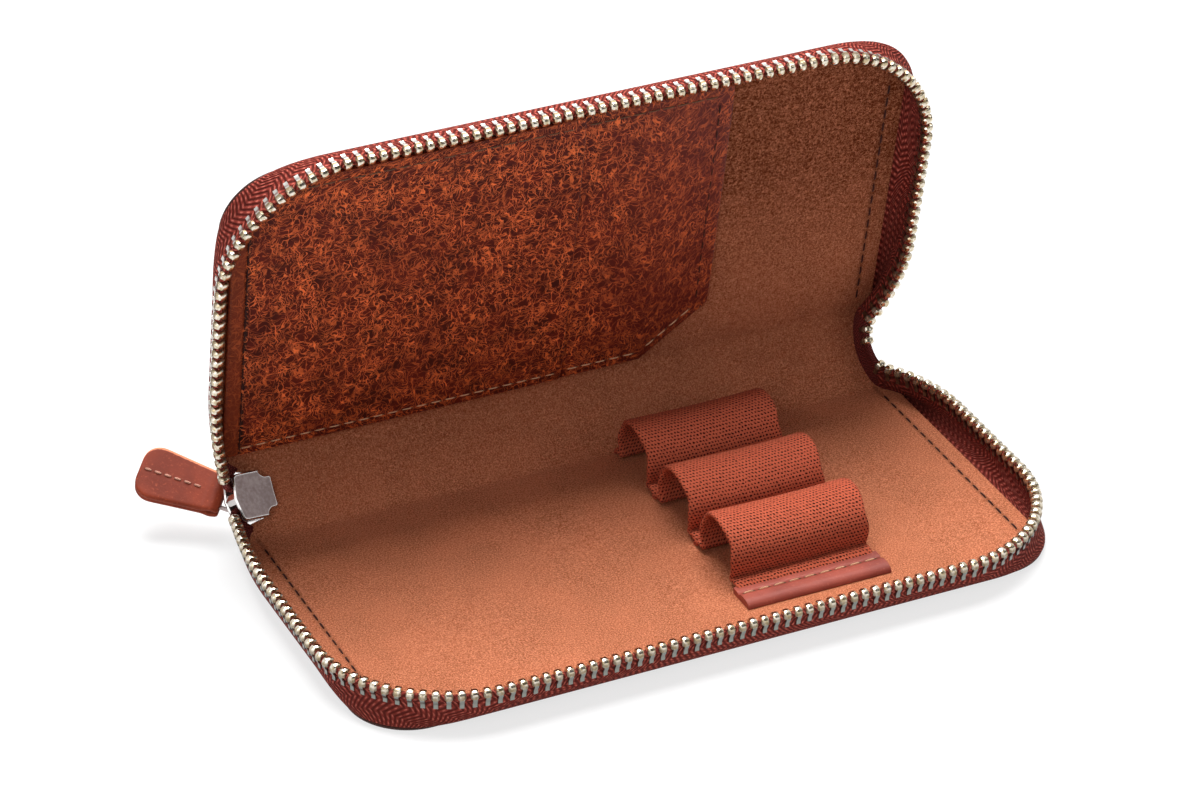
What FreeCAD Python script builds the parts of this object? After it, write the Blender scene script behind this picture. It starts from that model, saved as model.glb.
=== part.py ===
import FreeCAD, Part
import math
import os

from FreeCAD import Vector

# A soft leather pen case with a zip round three sides, standing open on its tray.
# The origin is the centre of the tray's flat bottom. +X runs along the fold, to the right seen
# from the front, -Y is the front edge and +Z is up. Every piece is first laid out in the closed
# case, where the lid lies over the tray, and the lid and the spine are then turned open.

# Cover leather of each half: a rounded rectangle from the fold line to the free front edge
half_length = 76.0
half_depth = 72.8
corner_radius = 13.0
fold_left_radius = 5.0
fold_right_radius = 9.0
closed_thickness = 20.0

# Opening of the standing case: the angle between tray and lid, shared by two equal folds
open_angle = 79.5
fold_angle = open_angle / 2

# Layers of each half, from the outside in
cover_thickness = 1.25
board_thickness = 0.5
lining_thickness = 0.6
lining_inset = 1.6
board_side_inset = 10.0
board_front_inset = 8.0
board_corner_radius = 5.0
board_fold_gap = 1.6
board_margin_gap = 0.2

# Folds: a rounded leather edge turns in a matching hollow of the spine strip
fold_clearance = 0.08
spine_lining_end_gap = 0.6
reinforcement_end_inset = 11.0
reinforcement_fold_clearance = 0.15

# Zip tape: a sewn margin between cover and lining, and a wall that leans out to the teeth
tape_thickness = 0.6
tape_root_inset = 1.1
tape_margin_width = 6.7
tape_root_end_angle = 50.0
tape_upright = 0.9

# Row of teeth: its line stands outside the cover, and its two ends turn in at the fold
tooth_pitch = 2.45
tooth_width = 2.4
tooth_length = 1.0
tooth_head = 1.0
tooth_leg = 1.75
tooth_slot_clearance = 0.1
tooth_chamfer = 0.5
row_meeting_gap = 0.3
row_first_tooth = 1.1
row_side_overhang = 1.8
row_front_overhang = 3.9
row_corner_radius = 28.0
row_end_gap = 2.0
row_left_turn_radius = 110.0
row_left_turn_in = 2.5
row_right_turn_radius = 34.0
row_right_turn_in = 7.3

# Side seams and other sewing: short raised stitches
stitch_length = 2.1
stitch_pitch = 3.2
stitch_width = 0.5
stitch_height = 0.25
seam_inset = 5.5
seam_start = 4.0
seam_past_corner = 2.2

# Elastic loops for three pens, side by side from the front edge to the fold
loop_left = 8.5
loop_length = 30.7
loop_front_depth = 57.9
loop_pitch = 19.05
loop_foot_width = 18.1
loop_headroom = 2.0
loop_crown_radius = 7.6
elastic_thickness = 1.2
foot_thickness = 0.6
foot_tail = 4.0

# Leather strip that is sewn over the front end of the elastic
strip_width = 6.6
strip_thickness = 1.4
strip_side_margin = 0.6
strip_clearance = 0.1
strip_stitch_inset = 2.3

# Card pocket panel on the lid's lining, open at its right edge and at its slit
panel_left_inset = 2.5
panel_right = 33.4
panel_bottom = 3.2
panel_top_inset = 1.9
panel_thickness = 1.3
panel_corner_step = 3.0
panel_chamfer_across = 14.4
panel_chamfer_up = 11.4
pocket_gap = 0.4
pocket_seam_margin = 3.0
slit_width = 0.6
slit_bottom = 5.2
slit_top_inset = 10.3
pocket_mouth = 1.0
panel_light_stitch_inset = 1.6
panel_dark_stitch_inset = 2.7

# Bare tape at the right end of the spine, and the tape end that the slider holds at the left
tape_end_lap = 10.0
tape_end_past_row = 0.4
tape_end_width = 10.3
tape_end_corner = 2.5
slider_tape_width = 3.6
slider_tape_reach = 0.6
slider_tape_lap = 0.6
slider_tape_clearance = 0.1

# Notch in the spine's left end, where the slider rests: deep in the cover, stepped in the lining
notch_reach = 6.6
notch_side_gap = 0.35
lining_notch_reach = 3.5
lining_notch_gap = 0.25

# Slider: two plates, a wedge-shaped post between the two mouths, and side flanges
slider_off_middle = 0.45
slider_from_notch = 5.5
slider_height = 1.5
slider_yaw = 16.0
slider_length = 9.6
slider_width = 9.7
slider_tail_width = 6.6
slider_depth = 4.6
slider_plate = 0.75
slider_nose = 0.9
slider_shoulder_back = 2.8
slider_tail_flat = 0.8
slider_notch_depth = 0.45
flange_bite = 0.05
flange_height = 0.9
flange_thickness = 0.6
flange_reach = 1.0
post_start = 2.1
post_end = 4.0
post_width = 2.2
post_nose_gap = 0.2

# Bail on the outer plate, the link that swings under it, and the leather pull tab
bail_length = 6.6
bail_width = 1.5
bail_thickness = 0.6
bail_window = 1.5
bail_foot = 0.7
link_wire = 0.9
link_width = 5.8
link_length = 5.2
link_from_middle = 1.2
tab_skew = 40.0
tab_tilt = 30.0
tab_length = 17.5
tab_width = 10.6
tab_end_radius = 3.6
tab_end_bow = 0.6
tab_neck_width = 7.6
tab_thickness = 2.6
tab_link_clearance = 0.15
tab_wrap = 0.5
tab_stitch_start = 5.5
tab_stitch_count = 6
tab_stitch_pitch = 2.2
tab_stitch_length = 1.3

# Places that follow from the sizes above
fold_y = half_depth / 2
fold_height = cover_thickness
spine_width = closed_thickness - 2 * cover_thickness
corner_centre_x = half_length - corner_radius
spine_left = half_length - fold_left_radius
spine_right = half_length - fold_right_radius
notch_x = notch_reach - spine_left
tape_root_left_end = fold_left_radius - (fold_left_radius - tape_root_inset) * math.sin(
    math.radians(tape_root_end_angle))
lining_bottom = cover_thickness + board_thickness
lining_top = lining_bottom + lining_thickness
tooth_top = (closed_thickness - row_meeting_gap) / 2
tooth_foot = tooth_top - tooth_head - tooth_leg
tape_top = tooth_top - tooth_head - tooth_slot_clearance
tape_lean_height = tooth_foot - tape_upright
row_half_length = half_length + row_side_overhang
row_depth = half_depth + row_front_overhang
seam_x = half_length - seam_inset
seam_end = half_depth - corner_radius + seam_past_corner
slit_top = half_depth - slit_top_inset
panel_corner_radius = corner_radius - panel_corner_step
board_half_length = half_length - board_side_inset
reinforcement_half_length = spine_right - reinforcement_end_inset
reinforcement_gap = cover_thickness + reinforcement_fold_clearance
loop_height = closed_thickness - 2 * lining_top - panel_thickness - loop_headroom
tape_end_inner = spine_right - tape_end_lap
tape_end_right = row_half_length - row_right_turn_in + tape_end_past_row
slider_across_spine = spine_width / 2 + slider_off_middle
slider_x = notch_x - slider_from_notch
fold_axis = Vector(0, fold_y, fold_height)
lid_axis_closed = Vector(0, fold_y, closed_thickness - cover_thickness)
along_x = Vector(1, 0, 0)


def opened_spine(shape):
    """Turns a piece of the closed spine back about the tray's fold."""
    turned = shape.copy()
    turned.rotate(fold_axis, along_x, -fold_angle)
    return turned


def opened_lid(shape):
    """Turns a piece of the closed lid about its own fold, and then with the spine."""
    turned = shape.copy()
    turned.rotate(lid_axis_closed, along_x, -fold_angle)
    return opened_spine(turned)


def level(half, height):
    """Height in the closed case of a level that is measured from the half's outer face."""
    return height if half == "tray" else closed_thickness - height


def point(x, depth, z):
    """A point of the closed case, depth being the distance from the fold towards the front."""
    return Vector(x, fold_y - depth, z)


def plate(half, edges, low, high):
    """A flat layer of that outline between two heights from the half's outer face."""
    face = Part.Face(Part.Wire(Part.__sortEdges__(edges)))
    face.translate(Vector(0, 0, min(level(half, low), level(half, high))))
    return face.extrude(Vector(0, 0, high - low))


def line(a, b):
    """A straight edge."""
    return Part.LineSegment(a, b).toShape()


def turn(centre, radius, start, end):
    """An arc in a flat layer, from one angle to another, in degrees from +X towards the front."""
    places = []
    for angle in (start, (start + end) / 2, end):
        bearing = math.radians(angle)
        places.append(centre + Vector(radius * math.cos(bearing), -radius * math.sin(bearing), 0))
    return Part.Arc(*places).toShape()


def half_outline(inset):
    """The cover's rounded rectangle, drawn in by inset. Its corners by the fold are tighter."""
    radius = corner_radius - inset
    side = half_length - inset
    front = half_depth - inset
    inner_x = corner_centre_x
    front_y = half_depth - corner_radius
    return [
        line(point(-spine_left, inset, 0), point(spine_right, inset, 0)),
        turn(point(spine_right, fold_right_radius, 0), fold_right_radius - inset, -90, 0),
        line(point(side, fold_right_radius, 0), point(side, front_y, 0)),
        turn(point(inner_x, front_y, 0), radius, 0, 90),
        line(point(inner_x, front, 0), point(-inner_x, front, 0)),
        turn(point(-inner_x, front_y, 0), radius, 90, 180),
        line(point(-side, front_y, 0), point(-side, fold_left_radius, 0)),
        turn(point(-spine_left, fold_left_radius, 0), fold_left_radius - inset, 180, 270),
    ]


def root_line(inset, z):
    """The tape's line along the cover's edge, from the left end of the fold round to the right. A line
    that lies too far in to turn with the left corner ends straight, level with the tape's root."""
    radius = corner_radius - inset
    side = half_length - inset
    front = half_depth - inset
    front_y = half_depth - corner_radius
    inner_x = corner_centre_x
    left_radius = fold_left_radius - inset
    if left_radius > 0:
        left_end = [
            turn(point(-spine_left, fold_left_radius, z), left_radius, 180 + tape_root_end_angle, 180),
            line(point(-side, fold_left_radius, z), point(-side, front_y, z)),
        ]
    else:
        left_end = [line(point(-side, tape_root_left_end, z), point(-side, front_y, z))]
    return left_end + [
        turn(point(-inner_x, front_y, z), radius, 180, 90),
        line(point(-inner_x, front, z), point(inner_x, front, z)),
        turn(point(inner_x, front_y, z), radius, 90, 0),
        line(point(side, front_y, z), point(side, fold_right_radius, z)),
        turn(point(spine_right, fold_right_radius, z), fold_right_radius - inset, 0, -tape_root_end_angle),
    ]


def row_turn(radius, turn_in):
    """How far back an end turn of the row starts, and the angle that it turns through."""
    start = row_end_gap + math.sqrt(radius ** 2 - (radius - turn_in) ** 2)
    return start, math.degrees(math.acos((radius - turn_in) / radius))


def row_line(offset, z):
    """The line of the teeth, moved outwards by offset, from the left end round to the right."""
    left_start, left_angle = row_turn(row_left_turn_radius, row_left_turn_in)
    right_start, right_angle = row_turn(row_right_turn_radius, row_right_turn_in)
    side = row_half_length + offset
    front = row_depth + offset
    inner_x = row_half_length - row_corner_radius
    front_y = row_depth - row_corner_radius
    left_centre = point(-row_half_length + row_left_turn_radius, left_start, z)
    right_centre = point(row_half_length - row_right_turn_radius, right_start, z)
    return [
        turn(left_centre, row_left_turn_radius + offset, 180 + left_angle, 180),
        line(point(-side, left_start, z), point(-side, front_y, z)),
        turn(point(-inner_x, front_y, z), row_corner_radius + offset, 180, 90),
        line(point(-inner_x, front, z), point(inner_x, front, z)),
        turn(point(inner_x, front_y, z), row_corner_radius + offset, 90, 0),
        line(point(side, front_y, z), point(side, right_start, z)),
        turn(right_centre, row_right_turn_radius + offset, 0, -right_angle),
    ]


def ends(edges):
    """First and last point of a run of edges in order."""
    return edges[0].valueAt(edges[0].FirstParameter), edges[-1].valueAt(edges[-1].LastParameter)


def band_wire(inner, outer):
    """A closed outline between two runs that lie side by side."""
    inner_start, inner_end = ends(inner)
    outer_start, outer_end = ends(outer)
    edges = list(outer) + [line(outer_end, inner_end)]
    edges += list(reversed(inner)) + [line(inner_start, outer_start)]
    return Part.Wire(edges)


def cover(half):
    """Cover leather of one half, with the rounded edge that its fold turns on."""
    body = plate(half, half_outline(0), 0, cover_thickness)
    axis_z = level(half, cover_thickness)
    length = spine_left + spine_right
    rod = Part.makeCylinder(cover_thickness, length, Vector(-spine_left, fold_y, axis_z), along_x)
    outside = Part.makeBox(length, cover_thickness, cover_thickness,
                           Vector(-spine_left, fold_y, min(level(half, 0), axis_z)))
    return body.fuse(rod.common(outside)).removeSplitter()


def tape_margin(half, inner_inset):
    """The tape's sewn margin, which lies between cover and lining as far in as inner_inset."""
    outer_inset = tape_root_inset - tape_thickness / 2
    margin = Part.Face(band_wire(root_line(inner_inset, 0), root_line(outer_inset, 0)))
    margin.translate(Vector(0, 0, min(level(half, cover_thickness), level(half, lining_bottom))))
    return margin.extrude(Vector(0, 0, board_thickness))


def board(half):
    """Stiffening board between cover and lining, inside the tape's sewn margin."""
    front = half_depth - board_front_inset
    inner_x = board_half_length - board_corner_radius
    front_y = front - board_corner_radius
    side = board_half_length
    edges = [
        line(point(-side, board_fold_gap, 0), point(side, board_fold_gap, 0)),
        line(point(side, board_fold_gap, 0), point(side, front_y, 0)),
        turn(point(inner_x, front_y, 0), board_corner_radius, 0, 90),
        line(point(inner_x, front, 0), point(-inner_x, front, 0)),
        turn(point(-inner_x, front_y, 0), board_corner_radius, 90, 180),
        line(point(-side, front_y, 0), point(-side, board_fold_gap, 0)),
    ]
    room = tape_margin(half, tape_root_inset + tape_margin_width + board_margin_gap)
    return plate(half, edges, cover_thickness, lining_bottom).cut(room)


def lining(half):
    """Suede lining of one half."""
    return plate(half, half_outline(lining_inset), lining_bottom, lining_top)


def tape(half):
    """Zip tape: the sewn margin, and the wall that leans out and stands up to the teeth."""
    half_wall = tape_thickness / 2
    sections = []
    for height, path in ((lining_bottom, root_line), (tape_lean_height, row_line), (tape_top, row_line)):
        z = level(half, height)
        if path is root_line:
            inner, outer = path(tape_root_inset + half_wall, z), path(tape_root_inset - half_wall, z)
        else:
            inner, outer = path(-half_wall, z), path(half_wall, z)
        sections.append(band_wire(inner, outer))
    wall = Part.makeLoft(sections, True, True)
    return tape_margin(half, tape_root_inset + tape_margin_width).fuse(wall)


def tooth():
    """One tooth in profile: a chamfered head with two legs that straddle the tape."""
    side = tooth_width / 2
    slot = tape_thickness / 2 + tooth_slot_clearance
    slot_top = tooth_top - tooth_head
    shoulder = side - tooth_chamfer
    profile = [
        (-side, tooth_foot), (-slot, tooth_foot), (-slot, slot_top), (slot, slot_top),
        (slot, tooth_foot), (side, tooth_foot),
        (side, tooth_top - tooth_chamfer), (shoulder, tooth_top),
        (-shoulder, tooth_top), (-side, tooth_top - tooth_chamfer), (-side, tooth_foot),
    ]
    corners = [Vector(across, -tooth_length / 2, z) for across, z in profile]
    return Part.Face(Part.makePolygon(corners)).extrude(Vector(0, tooth_length, 0))


def teeth(half):
    """The row of teeth, evenly spaced along its line. The lid's row is half a pitch behind."""
    edges = row_line(0, 0)
    total = sum(edge.Length for edge in edges)
    first = row_first_tooth if half == "tray" else row_first_tooth + tooth_pitch / 2
    pattern = tooth()
    if half == "lid":
        pattern = pattern.mirror(Vector(0, 0, closed_thickness / 2), Vector(0, 0, 1))
    row = []
    along = first
    while along < total - tooth_length / 2:
        rest = along
        for edge in edges:
            if rest <= edge.Length:
                break
            rest -= edge.Length
        place = edge.valueAt(edge.getParameterByLength(rest))
        ahead = edge.tangentAt(edge.getParameterByLength(rest))
        one = pattern.copy()
        one.rotate(Vector(0, 0, 0), Vector(0, 0, 1), math.degrees(math.atan2(ahead.y, ahead.x)) - 90)
        one.translate(place)
        row.append(one)
        along += tooth_pitch
    return Part.makeCompound(row)


def stitches(half, start, end, height):
    """A straight run of raised stitches between two (x, depth) places, on a surface at height."""
    first = point(start[0], start[1], 0)
    run = point(end[0], end[1], 0) - first
    count = int(run.Length / stitch_pitch)
    spare = (run.Length - (count - 1) * stitch_pitch - stitch_length) / 2
    bearing = math.degrees(math.atan2(run.y, run.x))
    low = min(level(half, height), level(half, height + stitch_height))
    run_of = []
    for number in range(count):
        one = Part.makeBox(stitch_length, stitch_width, stitch_height, Vector(0, -stitch_width / 2, low))
        one.translate(Vector(spare + number * stitch_pitch, 0, 0))
        one.rotate(Vector(0, 0, 0), Vector(0, 0, 1), bearing)
        one.translate(first)
        run_of.append(one)
    return run_of


def side_seam(half, side, height):
    """The dark seam beside the tape, on the left (-1) or the right (1)."""
    run_of = stitches(half, (side * seam_x, seam_start), (side * seam_x, seam_end), height)
    return Part.makeCompound(run_of)


def arch(half_width, height, radius, z):
    """Half-outline points of a loop's arch: foot, where it meets the crown, and the crown's top."""
    centre_z = height - radius
    reach = math.hypot(half_width, centre_z)
    bearing = math.atan2(-centre_z, half_width) + math.acos(radius / reach)
    return (half_width, z), (radius * math.cos(bearing), z + centre_z + radius * math.sin(bearing)), \
        (0.0, z + height)


def arch_run(half_width, height, radius, middle_y, x):
    """The arch as edges from its front foot over the crown to its back foot."""
    foot, shoulder, top = arch(half_width, height, radius, lining_top)
    front_foot = Vector(x, middle_y - foot[0], foot[1])
    front_shoulder = Vector(x, middle_y - shoulder[0], shoulder[1])
    back_shoulder = Vector(x, middle_y + shoulder[0], shoulder[1])
    back_foot = Vector(x, middle_y + foot[0], foot[1])
    crown = Part.Arc(front_shoulder, Vector(x, middle_y, top[1]), back_shoulder).toShape()
    return [line(front_foot, front_shoulder), crown, line(back_shoulder, back_foot)]


def loop(number):
    """One elastic loop, counted from the front, with the flat stretch that joins it to the next."""
    middle_y = fold_y - loop_front_depth + loop_foot_width / 2 + number * loop_pitch
    half_width = loop_foot_width / 2
    outer = arch_run(half_width, loop_height, loop_crown_radius, middle_y, loop_left)
    inner = arch_run(half_width - elastic_thickness, loop_height - elastic_thickness,
                     loop_crown_radius - elastic_thickness, middle_y, loop_left)
    body = Part.Face(band_wire(inner, outer)).extrude(Vector(loop_length, 0, 0))
    tail = foot_tail if number == 0 else loop_pitch - loop_foot_width - strip_clearance
    foot_y = middle_y - half_width
    foot = Part.makeBox(loop_length, tail + elastic_thickness / 2, foot_thickness,
                        Vector(loop_left, foot_y - tail, lining_top))
    return body.fuse(foot).removeSplitter()


def loop_strip():
    """Leather strip over the elastic's front end, hollowed below to take it."""
    front_foot_y = fold_y - loop_front_depth
    back_y = front_foot_y - strip_clearance
    body = Part.makeBox(loop_length + 2 * strip_side_margin, strip_width, strip_thickness,
                        Vector(loop_left - strip_side_margin, back_y - strip_width, lining_top))
    room = Part.makeBox(loop_length + 2 * strip_clearance, foot_tail + strip_clearance,
                        foot_thickness + strip_clearance,
                        Vector(loop_left - strip_clearance, front_foot_y - foot_tail - strip_clearance,
                               lining_top))
    return body.cut(room)


def strip_stitches():
    """Stitches along the strip."""
    depth = loop_front_depth + strip_clearance + strip_stitch_inset
    run_of = stitches("tray", (loop_left, depth), (loop_left + loop_length, depth),
                      lining_top + strip_thickness)
    return Part.makeCompound(run_of)


def panel_edges():
    """Outline of the pocket panel, with its chamfered corner by the fold."""
    left = -(half_length - panel_left_inset)
    top = half_depth - panel_top_inset
    radius = panel_corner_radius
    back_radius = fold_left_radius - panel_left_inset
    back_angle = math.degrees(math.asin((fold_left_radius - panel_bottom) / back_radius))
    back_x = -spine_left - back_radius * math.cos(math.radians(back_angle))
    return [
        line(point(back_x, panel_bottom, 0), point(panel_right - panel_chamfer_across, panel_bottom, 0)),
        line(point(panel_right - panel_chamfer_across, panel_bottom, 0),
             point(panel_right, panel_bottom + panel_chamfer_up, 0)),
        line(point(panel_right, panel_bottom + panel_chamfer_up, 0), point(panel_right, top, 0)),
        line(point(panel_right, top, 0), point(left + radius, top, 0)),
        turn(point(left + radius, top - radius, 0), radius, 90, 180),
        line(point(left, top - radius, 0), point(left, fold_left_radius, 0)),
        turn(point(-spine_left, fold_left_radius, 0), back_radius, 180, 180 + back_angle),
    ]


def pocket_panel():
    """Pocket panel: sewn at its left, top and bottom, open at the right edge and at the slit."""
    body = plate("lid", panel_edges(), lining_top, lining_top + panel_thickness)
    left = -(half_length - panel_left_inset) + pocket_seam_margin
    low = panel_bottom + pocket_seam_margin
    high = half_depth - panel_top_inset - pocket_seam_margin
    corner = panel_bottom + panel_chamfer_up
    foot = panel_right - panel_chamfer_across
    mouth = panel_right + pocket_mouth
    room = [
        line(point(left, low, 0), point(foot, low, 0)),
        line(point(foot, low, 0), point(panel_right - pocket_seam_margin, corner, 0)),
        line(point(panel_right - pocket_seam_margin, corner, 0), point(mouth, corner, 0)),
        line(point(mouth, corner, 0), point(mouth, high, 0)),
        line(point(mouth, high, 0), point(left + panel_corner_radius, high, 0)),
        turn(point(left + panel_corner_radius, high - panel_corner_radius, 0), panel_corner_radius, 90, 180),
        line(point(left, high - panel_corner_radius, 0), point(left, low, 0)),
    ]
    body = body.cut(plate("lid", room, lining_top, lining_top + pocket_gap))
    slit = [
        line(point(0, slit_bottom, 0), point(slit_width, slit_bottom, 0)),
        line(point(slit_width, slit_bottom, 0), point(slit_width, slit_top, 0)),
        line(point(slit_width, slit_top, 0), point(0, slit_top, 0)),
        line(point(0, slit_top, 0), point(0, slit_bottom, 0)),
    ]
    return body.cut(plate("lid", slit, lining_top, lining_top + panel_thickness))


def pocket_stitches_light():
    """Light stitches along the panel's bottom and top edges."""
    left = -(half_length - panel_left_inset) + pocket_seam_margin
    height = lining_top + panel_thickness
    low = panel_bottom + panel_light_stitch_inset
    high = half_depth - panel_top_inset - panel_light_stitch_inset
    run_of = stitches("lid", (left, low), (panel_right - panel_chamfer_across, low), height)
    run_of += stitches("lid", (left + panel_corner_radius, high),
                       (panel_right - panel_dark_stitch_inset, high), height)
    return Part.makeCompound(run_of)


def pocket_stitches_dark():
    """Dark stitches along the panel's chamfer and its open right edge."""
    height = lining_top + panel_thickness
    x = panel_right - panel_dark_stitch_inset
    corner = panel_bottom + panel_chamfer_up
    foot = panel_right - panel_chamfer_across
    run_of = stitches("lid", (foot, panel_bottom + panel_dark_stitch_inset), (x, corner), height)
    run_of += stitches("lid", (x, corner), (x, half_depth - panel_top_inset - pocket_seam_margin), height)
    return Part.makeCompound(run_of)


def spine_layer(left, right, start_gap, low, high):
    """A flat layer of the closed spine between two distances in front of the fold axes."""
    return Part.makeBox(right - left, high - low, spine_width - 2 * start_gap,
                        Vector(left, fold_y - high, fold_height + start_gap))


def end_notch(reach, half_width):
    """Room that is taken out of the spine's left end round the slider."""
    return Part.makeBox(reach + cover_thickness, 2 * slider_depth, 2 * half_width,
                        Vector(-spine_left - cover_thickness, fold_y - slider_depth,
                               fold_height + slider_across_spine - half_width))


def spine_cover():
    """Leather strip between the folds, hollowed at both edges for the halves' rounded edges."""
    strip = spine_layer(-spine_left, spine_right, 0, -cover_thickness, 0)
    for axis in (fold_axis, lid_axis_closed):
        rod = Part.makeCylinder(cover_thickness + fold_clearance, spine_left + spine_right,
                                axis - along_x * spine_left, along_x)
        strip = strip.cut(rod)
    return strip.cut(end_notch(notch_reach, slider_width / 2 + notch_side_gap))


def spine_lining():
    """Suede over the spine, cut out round the slider's flanges and, further in, round its tape."""
    layer = spine_layer(-spine_left, spine_right, spine_lining_end_gap, board_thickness,
                        board_thickness + lining_thickness)
    for_flanges = end_notch(lining_notch_reach, slider_width / 2 + lining_notch_gap)
    for_tape = end_notch(notch_reach, slider_tape_width / 2 + lining_notch_gap)
    return layer.cut(for_flanges).cut(for_tape)


def tape_end(side, outer, width):
    """A flat end of zip tape beside the spine's reinforcement, on one side."""
    corner = min(side * tape_end_inner, side * outer)
    return Part.makeBox(outer - tape_end_inner, board_thickness, width,
                        Vector(corner, fold_y - board_thickness, (closed_thickness - width) / 2))


def bare_tape_end():
    """Bare zip tape that joins the ends of the two rows at the right end of the spine."""
    body = tape_end(1, tape_end_right, tape_end_width)
    outer_corners = [edge for edge in body.Edges
                     if edge.BoundBox.YLength > 0 and edge.BoundBox.XMin >= body.BoundBox.XMax]
    return body.makeFillet(tape_end_corner, outer_corners)


def slider_frame(shape):
    """Turns and moves a slider piece into place: it is drawn with its mouths towards -X,
    its inner plate towards -Y and its middle at the origin."""
    placed = shape.copy()
    placed.rotate(Vector(0, 0, 0), Vector(0, 0, 1), slider_yaw)
    placed.translate(Vector(slider_x, fold_y - slider_height, fold_height + slider_across_spine))
    return placed


def slider_tape_end():
    """Tape end from under the spine leather into the slider, as far as its post."""
    flat = tape_end(-1, slider_tape_lap - notch_x, slider_tape_width)
    flat.translate(Vector(0, 0, fold_height + slider_across_spine - closed_thickness / 2))
    way = (notch_x - slider_x - slider_tape_clearance) / math.cos(math.radians(slider_yaw))
    inside = Part.makeBox(way + slider_tape_reach, board_thickness, slider_tape_width,
                          Vector(-slider_tape_reach, -board_thickness / 2, -slider_tape_width / 2))
    inside = slider_frame(inside)
    return flat.fuse(inside).removeSplitter()


def slider_plate_outline():
    """Outline of a slider plate as (towards the tail, across) points: nose, mouths, notches, tail."""
    nose = -slider_length / 2
    side = slider_width / 2
    tail = slider_tail_width / 2
    mouth = nose + slider_nose
    shoulder = slider_length / 2 - slider_shoulder_back
    return nose, mouth, side, shoulder, tail


def slider_plate_solid():
    """One slider plate, lying with its middle layer on y = 0."""
    nose, mouth, side, shoulder, tail = slider_plate_outline()
    end = slider_length / 2
    y = -slider_plate / 2

    def place(x, z):
        return Vector(x, y, z)

    flat = end - slider_tail_flat
    hollow_x = shoulder + slider_notch_depth
    hollow_z = tail + slider_notch_depth
    edges = [
        line(place(nose, 0), place(mouth, side)),
        line(place(mouth, side), place(shoulder, side)),
        Part.Arc(place(shoulder, side), place(hollow_x, hollow_z), place(flat, tail)).toShape(),
        line(place(flat, tail), place(end, tail)),
        line(place(end, tail), place(end, -tail)),
        line(place(end, -tail), place(flat, -tail)),
        Part.Arc(place(flat, -tail), place(hollow_x, -hollow_z), place(shoulder, -side)).toShape(),
        line(place(shoulder, -side), place(mouth, -side)),
        line(place(mouth, -side), place(nose, 0)),
    ]
    return Part.Face(Part.Wire(edges)).extrude(Vector(0, slider_plate, 0))


def slider_body():
    """Both plates, the post between the mouths, and the side flanges, in one casting."""
    nose, _, side, shoulder, _ = slider_plate_outline()
    reach = (slider_depth - slider_plate) / 2
    inner = slider_plate_solid()
    inner.translate(Vector(0, -reach, 0))
    outer = slider_plate_solid()
    outer.translate(Vector(0, reach, 0))
    start = -post_start
    stop = -post_end
    gap = slider_depth / 2 - slider_plate / 2
    post = Part.Face(Part.makePolygon([
        Vector(start, -gap, 0), Vector(stop, -gap, post_width / 2),
        Vector(nose + post_nose_gap, -gap, 0), Vector(stop, -gap, -post_width / 2), Vector(start, -gap, 0),
    ])).extrude(Vector(0, 2 * gap, 0))
    body = inner.fuse([outer, post])
    for across in (-1, 1):
        for layer in (-1, 1):
            z = -side if across < 0 else side - flange_thickness
            inner_face = slider_depth / 2 - slider_plate
            y = -inner_face - flange_bite if layer < 0 else inner_face + flange_bite - flange_height
            body = body.fuse(Part.makeBox(shoulder + flange_reach, flange_height, flange_thickness,
                                          Vector(-flange_reach, y, z)))
    return slider_frame(body.removeSplitter())


def slider_bail():
    """Arched bail on the outer plate, standing on its two feet."""
    base = slider_depth / 2
    high = bail_window + bail_thickness
    body = Part.makeBox(bail_length, high, bail_width, Vector(-bail_length / 2, base, -bail_width / 2))
    window = Part.makeBox(bail_length - 2 * bail_foot, bail_window, bail_width,
                          Vector(bail_foot - bail_length / 2, base, -bail_width / 2))
    return slider_frame(body.cut(window))


def pull_frame(shape):
    """Turns and moves a pull piece into place: it is drawn lying in the XZ plane, pointing to -X
    from its pivot at the origin, with the pivot's axis along Z."""
    placed = shape.copy()
    placed.rotate(Vector(0, 0, 0), Vector(0, 0, 1), -tab_tilt)
    placed.rotate(Vector(0, 0, 0), Vector(0, 1, 0), tab_skew)
    pivot = Vector(-link_from_middle, slider_depth / 2 + bail_window / 2, 0)
    placed.translate(pivot)
    return slider_frame(placed)


def pull_link():
    """Wire link: one bar runs under the bail, and the tab is folded round the other."""
    radius = link_wire / 2
    half_width = link_width / 2 - radius
    bars = []
    for x in (0, -link_length + link_wire):
        bars.append(Part.makeCylinder(radius, 2 * half_width, Vector(x, 0, -half_width), Vector(0, 0, 1)))
    for z in (-half_width, half_width):
        bars.append(Part.makeCylinder(radius, link_length - link_wire, Vector(0, 0, z), Vector(-1, 0, 0)))
        for x in (0, -link_length + link_wire):
            bars.append(Part.makeSphere(radius, Vector(x, 0, z)))
    return pull_frame(bars[0].fuse(bars[1:]).removeSplitter())


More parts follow.
